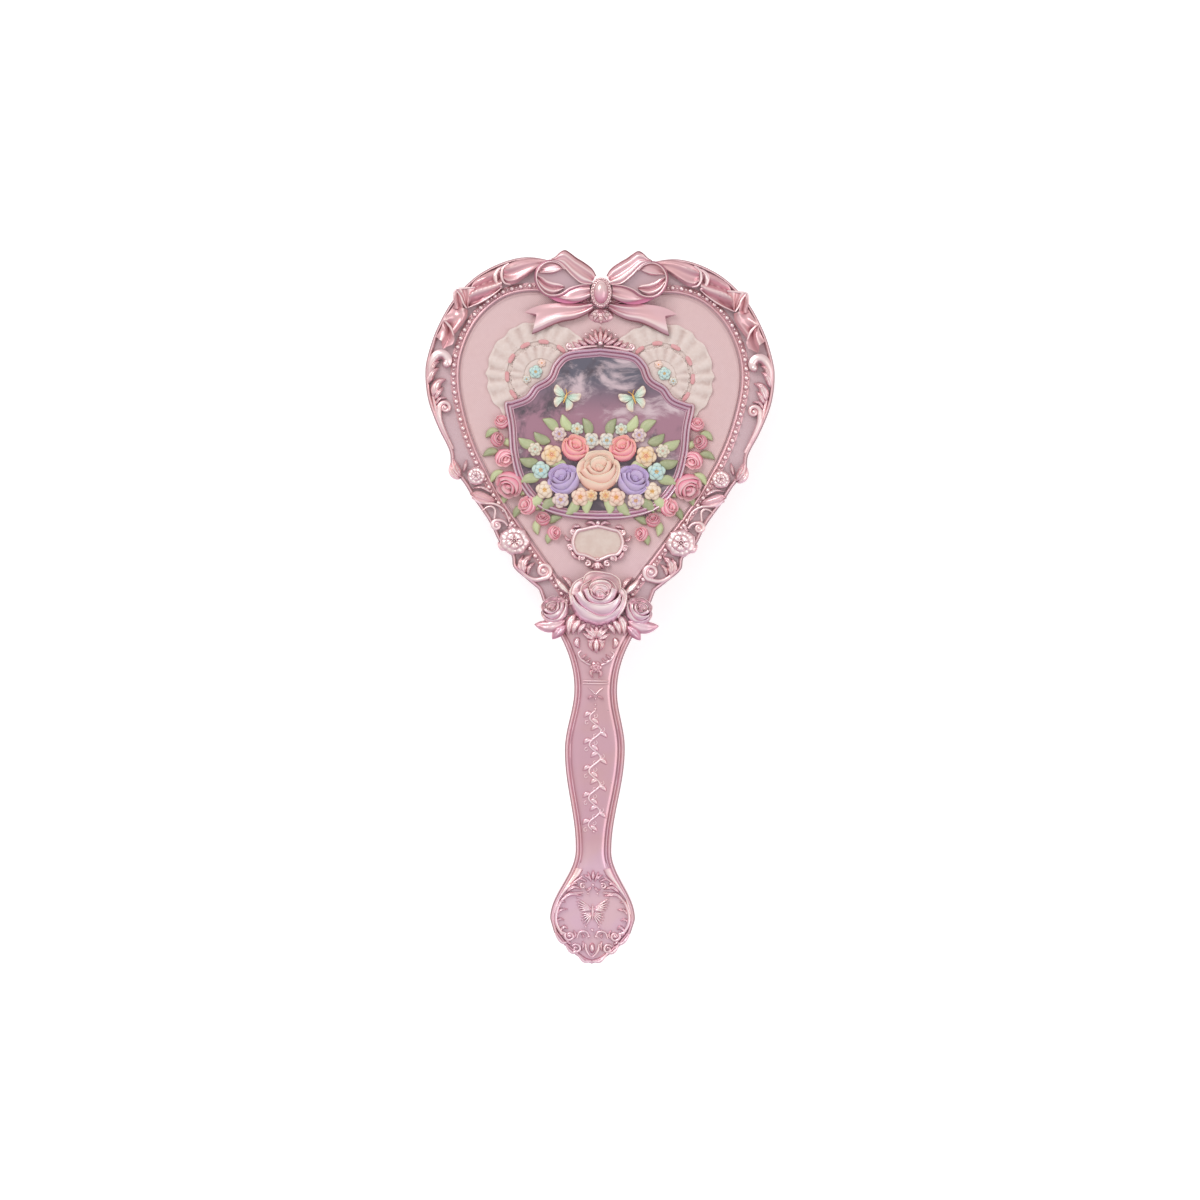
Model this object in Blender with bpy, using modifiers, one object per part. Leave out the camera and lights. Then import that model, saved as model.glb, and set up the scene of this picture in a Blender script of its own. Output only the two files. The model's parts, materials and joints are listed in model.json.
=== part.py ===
"""Heart-backed vanity hairbrush for Blender 4.5.

A plated two-part body carries an air cushion with pins on one side and an ornate heart-shaped back on
the other. The brush lies pins down: +Z is up, out of the ornate back, and +Y runs from the handle to the
bow. Sizes below are millimetres; they become metres when a mesh is made.
"""

import math

import bmesh
import bpy
import numpy as np
from mathutils import Matrix

MM = 0.001
WELD = 1e-4
FLATNESS = 1e-3
RIM_ANGLE = 0.5
SHARP_ANGLE = math.radians(35)
FOLD_SHARE = 0.93

# Overall size
LENGTH = 240.0
HALF_LENGTH = LENGTH / 2
HALF_WIDTH = 58.7
GAP = 0.3

# Levels above the table, from the pin tips up
PIN_LENGTH = 15.0
SKIN = 1.0
PIN_SKIN_LOW = PIN_LENGTH
PIN_SKIN_HIGH = PIN_SKIN_LOW + SKIN
CROWN = PIN_SKIN_HIGH + GAP
RIM = 20.5
GROOVE_LOW = 22.0
GROOVE_HIGH = 23.4
CHAMBER_TOP = 24.5
PARTING = 26.0
BACK_LOW = PARTING + GAP
SEAT_UNDER = 27.8
SEAT = 29.3
PANEL_TOP = 30.6
LEDGE = 30.8
FIELD = 32.0
ON_FIELD = FIELD + GAP
ON_PANEL = PANEL_TOP + GAP

# Body walls
EDGE_ROUND = 2.2
WALL = 2.2
HANDLE_ROOF = 2.4
HANDLE_HOLLOW = (-14.0, -110.0)
SEAT_HOLLOW_SCALE = 0.94
CUT_PAST = 1.0

# Edge rounds of the trim
FULL_ROUND = 1.6
SOFT_ROUND = 0.8
THIN_ROUND = 0.5
BEAD_LEDGE = 3.6
BEAD_RING_IN = 0.3
BEAD_RING_OUT = 3.3
BEAD_RING_TOP = 31.9

# Heart of the panel, right half from the notch to the tip
HEART = [
    (0, 100.0), (6.5, 101.6), (15.0, 104.6), (25.0, 105.4), (34.0, 102.6), (41.5, 95.6), (46.0, 86.5),
    (47.4, 77.0), (45.8, 66.0), (41.6, 53.0), (34.0, 38.5), (24.0, 24.0), (14.5, 11.0), (7.0, 1.0), (0, -3.5),
]
HEART_CENTRE = (0.0, 58.0)

# Body outline, right half of the head from the notch to the neck, with the wavy lower edge of the frame
HEAD = [
    (0, 107.5), (6.0, 110.3), (14.0, 114.8), (24.0, 117.0), (33.0, 115.2), (42.0, 110.3), (49.5, 102.5),
    (54.8, 93.0), (57.8, 84.0), (HALF_WIDTH, 77.5), (57.6, 68.5), (54.2, 59.5), (50.2, 51.5), (49.4, 45.8),
    (45.4, 41.0), (42.2, 36.0), (36.6, 28.0), (33.0, 21.0), (29.0, 16.8), (28.2, 12.8), (24.3, 9.2),
    (19.6, 5.4),
]
# Handle half-widths where they are narrowest or widest: waist, swell, wrist and pommel
HANDLE = [(-28.0, 7.2), (-48.0, 10.1), (-82.0, 6.0), (-105.0, 14.3)]
NECK_TOP = -4.0
NECK_SPREAD = 0.0156
POMMEL_TIP = [(12.9, -109.6), (9.9, -113.4), (6.4, -116.5), (2.6, -119.2), (0, -HALF_LENGTH)]
HANDLE_STEP = 7.0

# Cushion and pins
CUSHION_SCALE = 0.96
CUSHION_FIT = 0.4
CUSHION_SKIN = 1.2
FLANGE_REACH = 1.2
CROWN_SHARES = (0.86, 0.92, 0.965)
CROWN_RISES = (0.0, 0.6, 1.9)
LINING_SCALE = 0.99
PIN_FIELD_SCALE = 0.82
PIN_FIELD_END = 18.5
PIN_PITCH = 4.0
PIN_ROW = PIN_PITCH * math.sqrt(3) / 2
PIN_SIDES = 3
PIN_ROOT_RADIUS = 0.6
PIN_TIP_RADIUS = 0.4
PIN_MARGIN = 1.1
PIN_REACH = 18
PIN_BITE = 0.5
SKIN_SPLIT_Y = 46.0
SKIN_SPLIT = 0.8
VENT_RADIUS = 1.1
VENT_Y = 14.0

# Screws that hold the two shells together, under the cushion
SCREWS = {
    "shell_screw_left": (-26.0, 84.0),
    "shell_screw_right": (26.0, 84.0),
    "shell_screw_lower": (0.0, 20.0),
}
SCREW_SHANK = 0.8
SCREW_HEAD = 1.9
SCREW_HEAD_HIGH = 1.4
SCREW_END = 28.4
SCREW_HOLE = SCREW_SHANK + GAP
BOSS_RADIUS = 3.0
BOSS_HOLE_END = 28.7

# Bow, right half: loop outline, tail outline, and the oval jewel at the knot
BOW_LOOP = [
    (4.4, 109.6), (6.0, 114.6), (11.4, 120.0), (14.6, 118.4), (18.0, 116.2), (21.4, 114.4), (22.2, 110.6),
    (20.4, 106.8), (17.2, 103.8), (13.6, 101.9), (9.0, 101.4), (5.0, 102.4),
]
BOW_TOP = 37.4
BOW_TAIL = [
    (5.6, 100.9), (12.0, 100.9), (19.6, 101.0), (25.1, 99.3), (21.0, 97.9), (22.5, 92.2), (14.2, 96.2),
    (6.0, 98.6),
]
BOW_TAIL_FOOT = [(11.0, 99.2), (19.0, 99.4), (20.0, 97.6), (21.0, 94.4), (14.2, 97.2), (11.0, 97.8)]
BOW_TAIL_TOP = 34.4
KNOT = (0.0, 104.9)
SETTING_RADII = (3.9, 5.6)
SETTING_TOP = 36.6
JEWEL_RADII = (2.9, 4.5)
JEWEL_HIGH = 2.4
PEARL_DROP_Y = 96.6
PEARL_DROP_RADII = (3.1, 2.0)
PEARL_DROP_TOP = 33.1

# Ribbon swag over the right shoulder
SWAG = [
    (23.2, 116.6), (30.9, 115.8), (40.1, 111.4), (47.4, 107.2), (49.4, 102.6), (53.2, 95.2), (55.6, 90.2),
    (53.2, 86.7), (49.6, 88.6), (47.2, 93.8), (42.6, 99.6), (38.4, 102.2), (33.2, 105.4), (26.6, 109.6),
    (23.8, 113.0),
]
SWAG_TOP = 35.6

# Scrolls on the right of the frame: path points, then the radii at start, middle and end
SIDE_SCROLL = [(52.4, 56), (55.2, 64), (56.4, 72), (56.2, 79), (54.6, 84.4), (51.9, 84.2), (51.8, 81.6)]
MID_SCROLL = [(45.6, 40), (42.6, 37.6), (40, 35.4), (38.4, 32), (36.6, 29.4), (34.2, 29.8), (34, 32)]
LOW_SCROLL = [(27.4, 15.4), (25, 11.6), (21.4, 9.4), (18, 9.6), (16, 12), (17.4, 14.4), (19.2, 13.6)]
SCROLL_RADII = (0.7, 1.5, 1.0)

# Flowers on the right of the frame: centre, radius, petals, height
BUD = ((47.6, 46.6), 2.6, 3, 2.2)
FLORET = ((41.2, 43.0), 3.0, 6, 2.0)
DAISY = ((28.2, 22.4), 5.4, 8, 3.0)
PETAL_DEPTH = 0.16

# Roses at the neck: centre, radius, height
CENTRE_ROSE = ((0.0, 2.4), 9.6, 7.0)
SIDE_ROSE = ((14.0, -1.9), 4.0, 5.2)
ROSE_RINGS = [
    (0, 1.0), (0.18, 0.97), (0.3, 0.82), (0.42, 0.93), (0.56, 0.66), (0.7, 0.76), (0.84, 0.4), (0.97, 0.46),
    (1.0, 0.16), (0.9, 0), (0, 0),
]
ROSE_LEAF = [(20.8, -6.6), (16.6, -6.2), (11.6, -6.2), (10.0, -8.4), (13.4, -11.6), (17.6, -9.2)]
ROSE_LEAF_TOP = 34.2
NECK_DROP = [(0, -8.4), (4.4, -10.6), (5.2, -15.0), (2.4, -19.0), (0, -21.0)]
NECK_DROP_TOP = 33.4

# Emblem on the panel: cartouche plaque, lace, crest, garlands, posy and label
PLAQUE = [
    (0, 86.9), (11.0, 85.4), (15.6, 81.6), (17.8, 77.0), (22.2, 74.2), (25.0, 70.6), (29.4, 68.8),
    (32.0, 67.6), (30.8, 60.0), (29.8, 50.0), (26.8, 40.6), (20.0, 32.8), (10.0, 29.6), (0, 29.0),
]
PLAQUE_FRAME_WIDTH = 2.0
PLAQUE_PLATE_TOP = 32.0
PLAQUE_FRAME_TOP = 33.0
ON_PLATE = PLAQUE_PLATE_TOP + GAP
LACE_CENTRE = (20.0, 77.4)
LACE_RADIUS = 17.4
LACE_PLEATS = 18
LACE_SCALLOP = 0.05
LACE_TOP = 32.0
CREST = [(0, 93.6), (2.6, 91.8), (5.0, 91.0), (8.4, 89.2), (8.6, 87.3), (4.0, 87.7), (0, 87.8)]
CREST_TOP = 33.0
GARLAND_PATH = [(34.0, 59.6), (35.4, 52.6), (33.6, 44.6), (28.4, 36.4), (21.4, 29.4), (14.2, 23.4)]
GARLAND_HALF_WIDTH = 3.6
GARLAND_TOP = 35.2
GARLAND_WAVES = 6
GARLAND_WAVE_DEPTH = 0.3
POSY_CENTRE = (0.0, 47.0)
POSY_RADII = (22.5, 13.6)
POSY_LEAVES = 13
POSY_BED_TOP = 33.6
POSY_FLOWER_FOOT = ON_PLATE + 0.2
# Flowers of the posy, the middle one and those on the right: centre, radius, top
POSY_ROSES = [((0.0, 45.4), 7.4, 36.0), ((11.6, 42.4), 5.6, 35.4), ((8.0, 53.0), 4.7, 35.1)]
POSY_BLOSSOMS = [
    ((15.8, 50.6), 3.6, 34.8), ((19.4, 45.4), 3.1, 34.7), ((18.0, 38.8), 3.1, 34.7), ((12.6, 35.6), 2.9, 34.7),
    ((6.0, 36.6), 3.2, 34.8), ((2.6, 55.6), 2.8, 34.7), ((13.4, 57.6), 2.5, 34.6),
]
BLOSSOM_DOME = [(0, 1.0), (0.4, 0.92), (0.85, 0.6), (1.0, 0), (0, 0)]
LABEL = [(0, 27.6), (4.4, 26.6), (7.6, 25.4), (9.0, 21.4), (7.4, 17.4), (4.0, 16.4), (0, 14.6)]
LABEL_FRAME_WIDTH = 1.3
LABEL_PLATE_TOP = 32.2
LABEL_FRAME_TOP = 32.8

# Medallion on the pommel
MEDALLION_CENTRE_Y = -104.6
MEDALLION_RADII = (11.2, 11.6)
MEDALLION_BAND = 1.6
MEDALLION_LOBES = 10
MEDALLION_SCALLOP = 0.06
MEDALLION_TOP = 33.2
BUTTERFLY = [
    (0, -102.2), (2.0, -101.2), (6.2, -98.6), (6.6, -101.0), (4.4, -104.0), (4.6, -107.6), (2.6, -108.6),
    (0, -105.6),
]
BUTTERFLY_TOP = 33.0

# Finishes: name, colour, roughness, metallic
PLATED = ("plated", (0.72, 0.42, 0.45), 0.28, 0.85)
SATIN_PINK = ("satin_pink", (0.73, 0.54, 0.55), 0.5, 0.0)
MIRROR = ("mirror", (0.42, 0.30, 0.36), 0.12, 1.0)
LACE_WHITE = ("lace_white", (0.75, 0.66, 0.62), 0.7, 0.0)
ROSE_PINK = ("rose_pink", (0.76, 0.25, 0.33), 0.45, 0.0)
BLOSSOM = ("blossom", (0.66, 0.47, 0.60), 0.45, 0.0)
CREAM = ("cream", (0.74, 0.62, 0.52), 0.45, 0.0)
PEARL = ("pearl", (0.80, 0.62, 0.63), 0.15, 0.3)
RUBBER = ("rubber", (0.66, 0.38, 0.43), 0.6, 0.0)
NYLON = ("nylon", (0.80, 0.66, 0.67), 0.35, 0.0)
STEEL = ("steel", (0.55, 0.55, 0.56), 0.35, 1.0)


# Collections and materials


def clear_scene():
    for obj in list(bpy.data.objects):
        bpy.data.objects.remove(obj, do_unlink=True)


def collection(name):
    made = bpy.data.collections.new(name)
    bpy.context.scene.collection.children.link(made)
    return made


def material(finish):
    """The material of a finish, made on first use."""
    name, colour, roughness, metallic = finish
    made = bpy.data.materials.get(name)
    if made is None:
        made = bpy.data.materials.new(name)
        made.use_nodes = True
        shader = made.node_tree.nodes["Principled BSDF"]
        shader.inputs["Base Color"].default_value = (*colour, 1.0)
        shader.inputs["Roughness"].default_value = roughness
        shader.inputs["Metallic"].default_value = metallic
    return made


# Plane curves, in millimetres


def smooth(points, steps, closed=False):
    """Catmull-Rom curve through the points, with that many steps from each point to the next."""
    p = np.array(points, float)
    if closed:
        before, after, ahead = np.roll(p, 1, 0), np.roll(p, -1, 0), np.roll(p, -2, 0)
        here = p
    else:
        ends = np.vstack([2 * p[0] - p[1], p, 2 * p[-1] - p[-2]])
        before, here, after, ahead = ends[:-3], ends[1:-2], ends[2:-1], ends[3:]
    t = (np.arange(steps) / steps)[None, :, None]
    before, here, after, ahead = (a[:, None, :] for a in (before, here, after, ahead))
    curve = 0.5 * (
        2 * here
        + (after - before) * t
        + (2 * before - 5 * here + 4 * after - ahead) * t**2
        + (3 * here - before - 3 * after + ahead) * t**3
    )
    curve = curve.reshape(-1, p.shape[1])
    return curve if closed else np.vstack([curve, p[-1:]])


def mirrored(right_half):
    """The closed loop of a right half that starts and ends on the centre line."""
    left = right_half[-2:0:-1] * [-1, 1]
    return np.vstack([right_half, left])


def flipped(loop):
    """The loop on the other side of the centre line, still running the same way round."""
    return (np.array(loop, float) * [-1, 1])[::-1]


def side_sign(side):
    return 1 if side == "right" else -1


def on_side(loop, side):
    return np.array(loop, float) if side == "right" else flipped(loop)


def pushed(loop, distance):
    """Every point of the loop moved outwards by distance."""
    ahead = np.roll(loop, -1, 0) - np.roll(loop, 1, 0)
    left = np.stack([-ahead[:, 1], ahead[:, 0]], 1)
    left /= np.linalg.norm(left, axis=1, keepdims=True)
    x, y = loop.T
    turn = np.sum(x * np.roll(y, -1) - np.roll(x, -1) * y)
    return loop - math.copysign(1, turn) * distance * left


def grown(loop, distance):
    """The loop moved outwards by distance, without the points that a tight corner would fold over."""
    moved = pushed(loop, distance)
    spread = np.linalg.norm(moved[:, None] - loop[None], axis=2).min(1)
    return moved[spread > FOLD_SHARE * abs(distance)]


def scaled(loop, factor, centre):
    return (loop - centre) * factor + centre


def ellipse(centre, radii, count):
    turn = np.arange(count) * 2 * math.pi / count
    return np.stack([centre[0] + radii[0] * np.cos(turn), centre[1] + radii[1] * np.sin(turn)], 1)


def petalled(centre, radii, petals, count, depth=PETAL_DEPTH):
    """An oval whose edge goes in and out once for each petal."""
    turn = np.arange(count) * 2 * math.pi / count
    share = 1 - depth * (0.5 - 0.5 * np.cos(petals * turn))
    return centre + (ellipse((0, 0), radii, count) * share[:, None])


def handle_half_width(y):
    """Half-width of the handle at y: a spread below the neck, then eased from each station to the next."""
    stations_y, widths = np.array(HANDLE).T
    if y >= stations_y[0]:
        return widths[0] + NECK_SPREAD * (y - stations_y[0]) ** 2
    i = int(np.searchsorted(-stations_y, -y) - 1)
    share = (y - stations_y[i]) / (stations_y[i + 1] - stations_y[i])
    return widths[i] + (widths[i + 1] - widths[i]) * (1 - math.cos(math.pi * share)) / 2


def body_outline():
    """The whole outline of the body: head, handle and pommel."""
    head = smooth(HEAD, 2)
    pommel_y = HANDLE[-1][0]
    count = round((NECK_TOP - pommel_y) / HANDLE_STEP)
    handle = [(handle_half_width(y), y) for y in np.linspace(NECK_TOP, pommel_y, count + 1)]
    return mirrored(np.vstack([head, handle, POMMEL_TIP]))


def handle_cavity():
    """The hollow of the handle, a wall's width inside its outline."""
    top, bottom = HANDLE_HOLLOW
    count = round((top - bottom) / HANDLE_STEP)
    heights = np.linspace(top, bottom, count + 1)
    right = [(handle_half_width(max(y, HANDLE[-1][0])) - WALL, y) for y in heights]
    right = [(right[0][0] / 2, top + WALL), *right, (right[-1][0] / 2, bottom - WALL)]
    return np.vstack([right, np.array(right[::-1]) * [-1, 1]])


def heart_loop(factor=1.0):
    return scaled(mirrored(smooth(HEART, 2)), factor, HEART_CENTRE)


# Solids


def add_mesh(name, bm, into, finish=None):
    """A mesh object made from bm, which is in millimetres, with round pieces shaded smooth."""
    bmesh.ops.scale(bm, vec=(MM, MM, MM), verts=bm.verts)
    bmesh.ops.recalc_face_normals(bm, faces=bm.faces)
    mesh = bpy.data.meshes.new(name)
    bm.to_mesh(mesh)
    bm.free()
    mesh.shade_smooth()
    mesh.set_sharp_from_angle(angle=SHARP_ANGLE)
    obj = bpy.data.objects.new(name, mesh)
    into.objects.link(obj)
    if finish:
        mesh.materials.append(material(finish))
    return obj


def outline_bm(loops, low, high):
    """A flat outline, with any holes, as a filled and extruded 2D curve made into a welded bmesh."""
    curve = bpy.data.curves.new("outline", "CURVE")
    curve.dimensions = "2D"
    curve.fill_mode = "BOTH"
    curve.extrude = (high - low) / 2
    for loop in loops:
        spline = curve.splines.new("POLY")
        spline.points.add(len(loop) - 1)
        spline.use_cyclic_u = True
        for point, (x, y) in zip(spline.points, loop):
            point.co = (x, y, 0, 1)
    holder = bpy.data.objects.new("outline", curve)
    bpy.context.scene.collection.objects.link(holder)
    graph = bpy.context.evaluated_depsgraph_get()
    mesh = bpy.data.meshes.new_from_object(holder.evaluated_get(graph))
    bm = bmesh.new()
    bm.from_mesh(mesh)
    bpy.data.objects.remove(holder)
    bpy.data.curves.remove(curve)
    bpy.data.meshes.remove(mesh)
    bmesh.ops.remove_doubles(bm, verts=bm.verts, dist=WELD)
    bmesh.ops.dissolve_limit(bm, angle_limit=FLATNESS, verts=bm.verts, edges=bm.edges)
    bmesh.ops.translate(bm, vec=(0, 0, (low + high) / 2), verts=bm.verts)
    return bm


def round_edges(bm, level, width, segments):
    """Rounds the outline's edges that lie at one level."""
    level_edges = [e for e in bm.edges if all(abs(v.co.z - level) < FLATNESS for v in e.verts)]
    rims = [e for e in level_edges if e.calc_face_angle() > RIM_ANGLE]
    bmesh.ops.bevel(
        bm, geom=rims, offset=width, segments=segments, profile=0.5, affect="EDGES", clamp_overlap=True
    )


def plate(name, loops, low, high, into, finish=None, top=0.0, bottom=0.0, segments=1):
    """A plate between two levels, with its top and bottom edges rounded by the widths given."""
    bm = outline_bm(loops, low, high)
    if top:
        round_edges(bm, high, top, segments)
    if bottom:
        round_edges(bm, low, bottom, segments)
    return add_mesh(name, bm, into, finish)


def cylinder(name, centre, radius, low, high, into, finish=None, sides=16):
    bm = bmesh.new()
    bmesh.ops.create_cone(
        bm, cap_ends=True, segments=sides, radius1=radius, radius2=radius, depth=high - low,
        matrix=Matrix.Translation((*centre, (low + high) / 2)),
    )
    return add_mesh(name, bm, into, finish)


def turned(name, profile, centre, radii, into, finish, steps=20):
    """A turned solid: a profile of (share of the radius, level) from the axis down, spun and made oval."""
    bm = bmesh.new()
    verts = [bm.verts.new((share * MM, 0, level * MM)) for share, level in profile]
    for a, b in zip(verts, verts[1:]):
        bm.edges.new((a, b))
    mesh = bpy.data.meshes.new(name)
    bm.to_mesh(mesh)
    bm.free()
    obj = bpy.data.objects.new(name, mesh)
    into.objects.link(obj)
    screw = obj.modifiers.new("spin", "SCREW")
    screw.steps = screw.render_steps = steps
    screw.use_merge_vertices = True
    screw.merge_threshold = WELD * MM
    obj.location = (centre[0] * MM, centre[1] * MM, 0)
    obj.scale = (radii[0], radii[1], 1)
    mesh.materials.append(material(finish))
    return obj


def scroll(name, path, radii, low, into, finish):
    """A tapered bar along a path, lying on the level low."""
    line = smooth(path, 2)
    start, middle, end = radii
    share = np.linspace(0, 1, len(line))
    thick = np.interp(share, [0, 0.5, 1], [start, middle, end])
    curve = bpy.data.curves.new(name, "CURVE")
    curve.dimensions = "3D"
    curve.bevel_depth = MM
    curve.bevel_resolution = 1
    curve.use_fill_caps = True
    spline = curve.splines.new("POLY")
    spline.points.add(len(line) - 1)
    for point, (x, y), radius in zip(spline.points, line, thick):
        point.co = (x * MM, y * MM, (low + radius) * MM, 1)
        point.radius = radius
    obj = bpy.data.objects.new(name, curve)
    into.objects.link(obj)
    curve.materials.append(material(finish))
    return obj


def boolean(obj, other, operation):
    """Gives obj the mesh of its Boolean with another object."""
    modifier = obj.modifiers.new(operation.lower(), "BOOLEAN")
    modifier.object = other
    modifier.operation = operation
    modifier.solver = "EXACT"
    graph = bpy.context.evaluated_depsgraph_get()
    mesh = bpy.data.meshes.new_from_object(obj.evaluated_get(graph))
    obj.modifiers.remove(modifier)
    obj.data = mesh


def hide_cutter(obj):
    obj.hide_render = True
    obj.display_type = "WIRE"
    return obj


# The two shells of the body


def make_front_shell(parts, cutters):
    """The pin-side half: a flat rim, a heart opening, the cushion's chamber and half the handle."""
    outline = [body_outline()]
    shell = plate("front_shell", outline, RIM, PARTING, parts, PLATED, bottom=EDGE_ROUND, segments=2)
    opening = heart_loop(CUSHION_SCALE)
    past = PARTING + CUT_PAST
    cuts = [
        plate("cushion_opening", [opening], RIM - CUT_PAST, CHAMBER_TOP, cutters),
        plate("flange_groove", [grown(opening, FLANGE_REACH + GAP)], GROOVE_LOW, GROOVE_HIGH, cutters),
        plate("front_handle_hollow", [handle_cavity()], RIM + HANDLE_ROOF, past, cutters),
    ]
    for name, centre in SCREWS.items():
        cuts.append(cylinder(name + "_way", centre, SCREW_HOLE, CHAMBER_TOP - CUT_PAST, past, cutters))
    for cut in cuts:
        boolean(shell, hide_cutter(cut), "DIFFERENCE")


def make_back_shell(parts, cutters):
    """The ornate half: a seat for the panel, a ledge for the beads, screw bosses and half the handle."""
    outline = [body_outline()]
    shell = plate("back_shell", outline, BACK_LOW, FIELD, parts, PLATED, top=EDGE_ROUND, segments=2)
    heart = heart_loop()
    below = BACK_LOW - CUT_PAST
    above = FIELD + CUT_PAST
    hollow = plate("seat_hollow", [heart_loop(SEAT_HOLLOW_SCALE)], below, SEAT_UNDER, cutters)
    for name, centre in SCREWS.items():
        post = cylinder(name + "_boss", centre, BOSS_RADIUS, below - CUT_PAST, SEAT_UNDER + CUT_PAST, cutters)
        boolean(hollow, hide_cutter(post), "DIFFERENCE")
    cuts = [
        plate("bead_ledge", [grown(heart, BEAD_LEDGE)], LEDGE, above, cutters),
        plate("panel_seat", [heart], SEAT, above, cutters),
        hollow,
        plate("back_handle_hollow", [handle_cavity()], below, FIELD - HANDLE_ROOF, cutters),
    ]
    for name, centre in SCREWS.items():
        cuts.append(cylinder(name + "_hole", centre, SCREW_HOLE, below, BOSS_HOLE_END, cutters))
    for cut in cuts:
        boolean(shell, hide_cutter(cut), "DIFFERENCE")


def make_screws(parts):
    """Pan-head screws from the cushion chamber up into the bosses."""
    seat = CHAMBER_TOP - GAP
    profile = [
        (0, SCREW_END), (SCREW_SHANK, SCREW_END), (SCREW_SHANK, seat), (SCREW_HEAD, seat),
        (SCREW_HEAD, seat - SCREW_HEAD_HIGH), (0, seat - SCREW_HEAD_HIGH),
    ]
    for name, centre in SCREWS.items():
        turned(name, profile, centre, (1, 1), parts, STEEL, steps=12)


# Cushion and pins


def make_air_cushion(parts, cutters):
    """A heart-shaped rubber dome with drawn-in sides, a flange for the groove and a vent near the tip."""
    opening = heart_loop(CUSHION_SCALE)
    flange_low = GROOVE_LOW + GAP
    flange_high = GROOVE_HIGH - GAP
    wall = pushed(opening, -CUSHION_FIT)
    lining = pushed(opening, -CUSHION_FIT - CUSHION_SKIN)
    flange = pushed(opening, FLANGE_REACH)
    crown = [scaled(opening, share, HEART_CENTRE) for share in CROWN_SHARES]
    rings = [(loop, CROWN + rise) for loop, rise in zip(crown, CROWN_RISES)]
    lining_crown = [scaled(loop, LINING_SCALE, HEART_CENTRE) for loop in crown]
    inner_rings = [(loop, CROWN + rise + CUSHION_SKIN) for loop, rise in zip(lining_crown, CROWN_RISES)]
    rings += [(wall, RIM), (wall, flange_low), (flange, flange_low), (flange, flange_high)]
    rings += [(lining, flange_high), (lining, RIM + CUSHION_SKIN / 2), *inner_rings[::-1]]
    bm = bmesh.new()
    loops = [[bm.verts.new((x, y, level)) for x, y in loop] for loop, level in rings]
    for loop, following in zip(loops, loops[1:]):
        for i in range(len(loop)):
            j = (i + 1) % len(loop)
            bm.faces.new((loop[i], loop[j], following[j], following[i]))
    bm.faces.new(loops[0])
    bm.faces.new(loops[-1])
    cushion = add_mesh("air_cushion", bm, parts, RUBBER)
    vent = cylinder("vent", (0, VENT_Y), VENT_RADIUS, CROWN - CUT_PAST, GROOVE_HIGH, cutters)
    boolean(cushion, hide_cutter(vent), "DIFFERENCE")


def pin_places(loop):
    """Centres from one staggered grid that stay a margin inside the loop."""
    steps = np.arange(-PIN_REACH, PIN_REACH)
    row, column = np.meshgrid(steps, steps, indexing="ij")
    x = (column + 0.5 * (row % 2)) * PIN_PITCH
    y = HEART_CENTRE[1] + row * PIN_ROW
    places = np.stack([x.ravel(), y.ravel()], 1)
    edge = np.linspace(loop, np.roll(loop, -1, 0), 9).reshape(-1, 2)
    far = np.linalg.norm(places[:, None] - edge[None], axis=2).min(1) > PIN_MARGIN
    return places[inside(places, loop) & far]


def inside(places, loop):
    """Whether each place is inside the loop, by counting the edges that a ray to +X crosses."""
    x, y = places[:, :1], places[:, 1:]
    x0, y0 = loop.T
    x1, y1 = np.roll(loop, -1, 0).T
    spans = (y0 <= y) != (y1 <= y)
    with np.errstate(divide="ignore", invalid="ignore"):
        cross = x0 + (y - y0) * (x1 - x0) / (y1 - y0)
    return np.sum(spans & (x < cross), axis=1) % 2 == 1


def cut_loop(loop, axis, limit, keep_above):
    """The part of a loop on one side of a line, with its cut edge straight."""
    kept = []
    for here, there in zip(loop, np.roll(loop, -1, 0)):
        inside_here = (here[axis] >= limit) == keep_above
        inside_there = (there[axis] >= limit) == keep_above
        if inside_here:
            kept.append(here)
        if inside_here != inside_there:
            share = (limit - here[axis]) / (there[axis] - here[axis])
            kept.append(here + share * (there - here))
    return np.array(kept)


def make_pins(parts, cutters):
    """Three sheets of pins, each fused to its slice of the cushion's skin, that slide up together."""
    pad = bpy.data.objects.new("pin_pad", None)
    parts.objects.link(pad)
    field = cut_loop(heart_loop(PIN_FIELD_SCALE), 1, PIN_FIELD_END, True)
    upper = cut_loop(field, 1, SKIN_SPLIT_Y + SKIN_SPLIT / 2, True)
    sheets = {
        "pins_left": cut_loop(upper, 0, -SKIN_SPLIT / 2, False),
        "pins_right": cut_loop(upper, 0, SKIN_SPLIT / 2, True),
        "pins_lower": cut_loop(field, 1, SKIN_SPLIT_Y - SKIN_SPLIT / 2, False),
    }
    total = 0
    for name, loop in sheets.items():
        sheet = plate(name, [loop], PIN_SKIN_LOW, PIN_SKIN_HIGH, parts, NYLON)
        sheet.parent = pad
        bm = bmesh.new()
        for x, y in pin_places(loop):
            bmesh.ops.create_cone(
                bm, cap_ends=True, segments=PIN_SIDES, radius1=PIN_TIP_RADIUS, radius2=PIN_ROOT_RADIUS,
                depth=PIN_LENGTH + PIN_BITE, matrix=Matrix.Translation((x, y, (PIN_LENGTH + PIN_BITE) / 2)),
            )
            total += 1
        strands = add_mesh(name + "_strands", bm, cutters)
        boolean(sheet, hide_cutter(strands), "UNION")
    print(total, "pins")


# Trim of the frame


def make_panel_and_beads(parts):
    heart = heart_loop()
    plate("inlay_panel", [grown(heart, -GAP)], SEAT + GAP, PANEL_TOP, parts, SATIN_PINK)
    ring = [grown(heart, BEAD_RING_OUT), grown(heart, BEAD_RING_IN)]
    plate("bead_border", ring, LEDGE + GAP, BEAD_RING_TOP, parts, PLATED)


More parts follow.
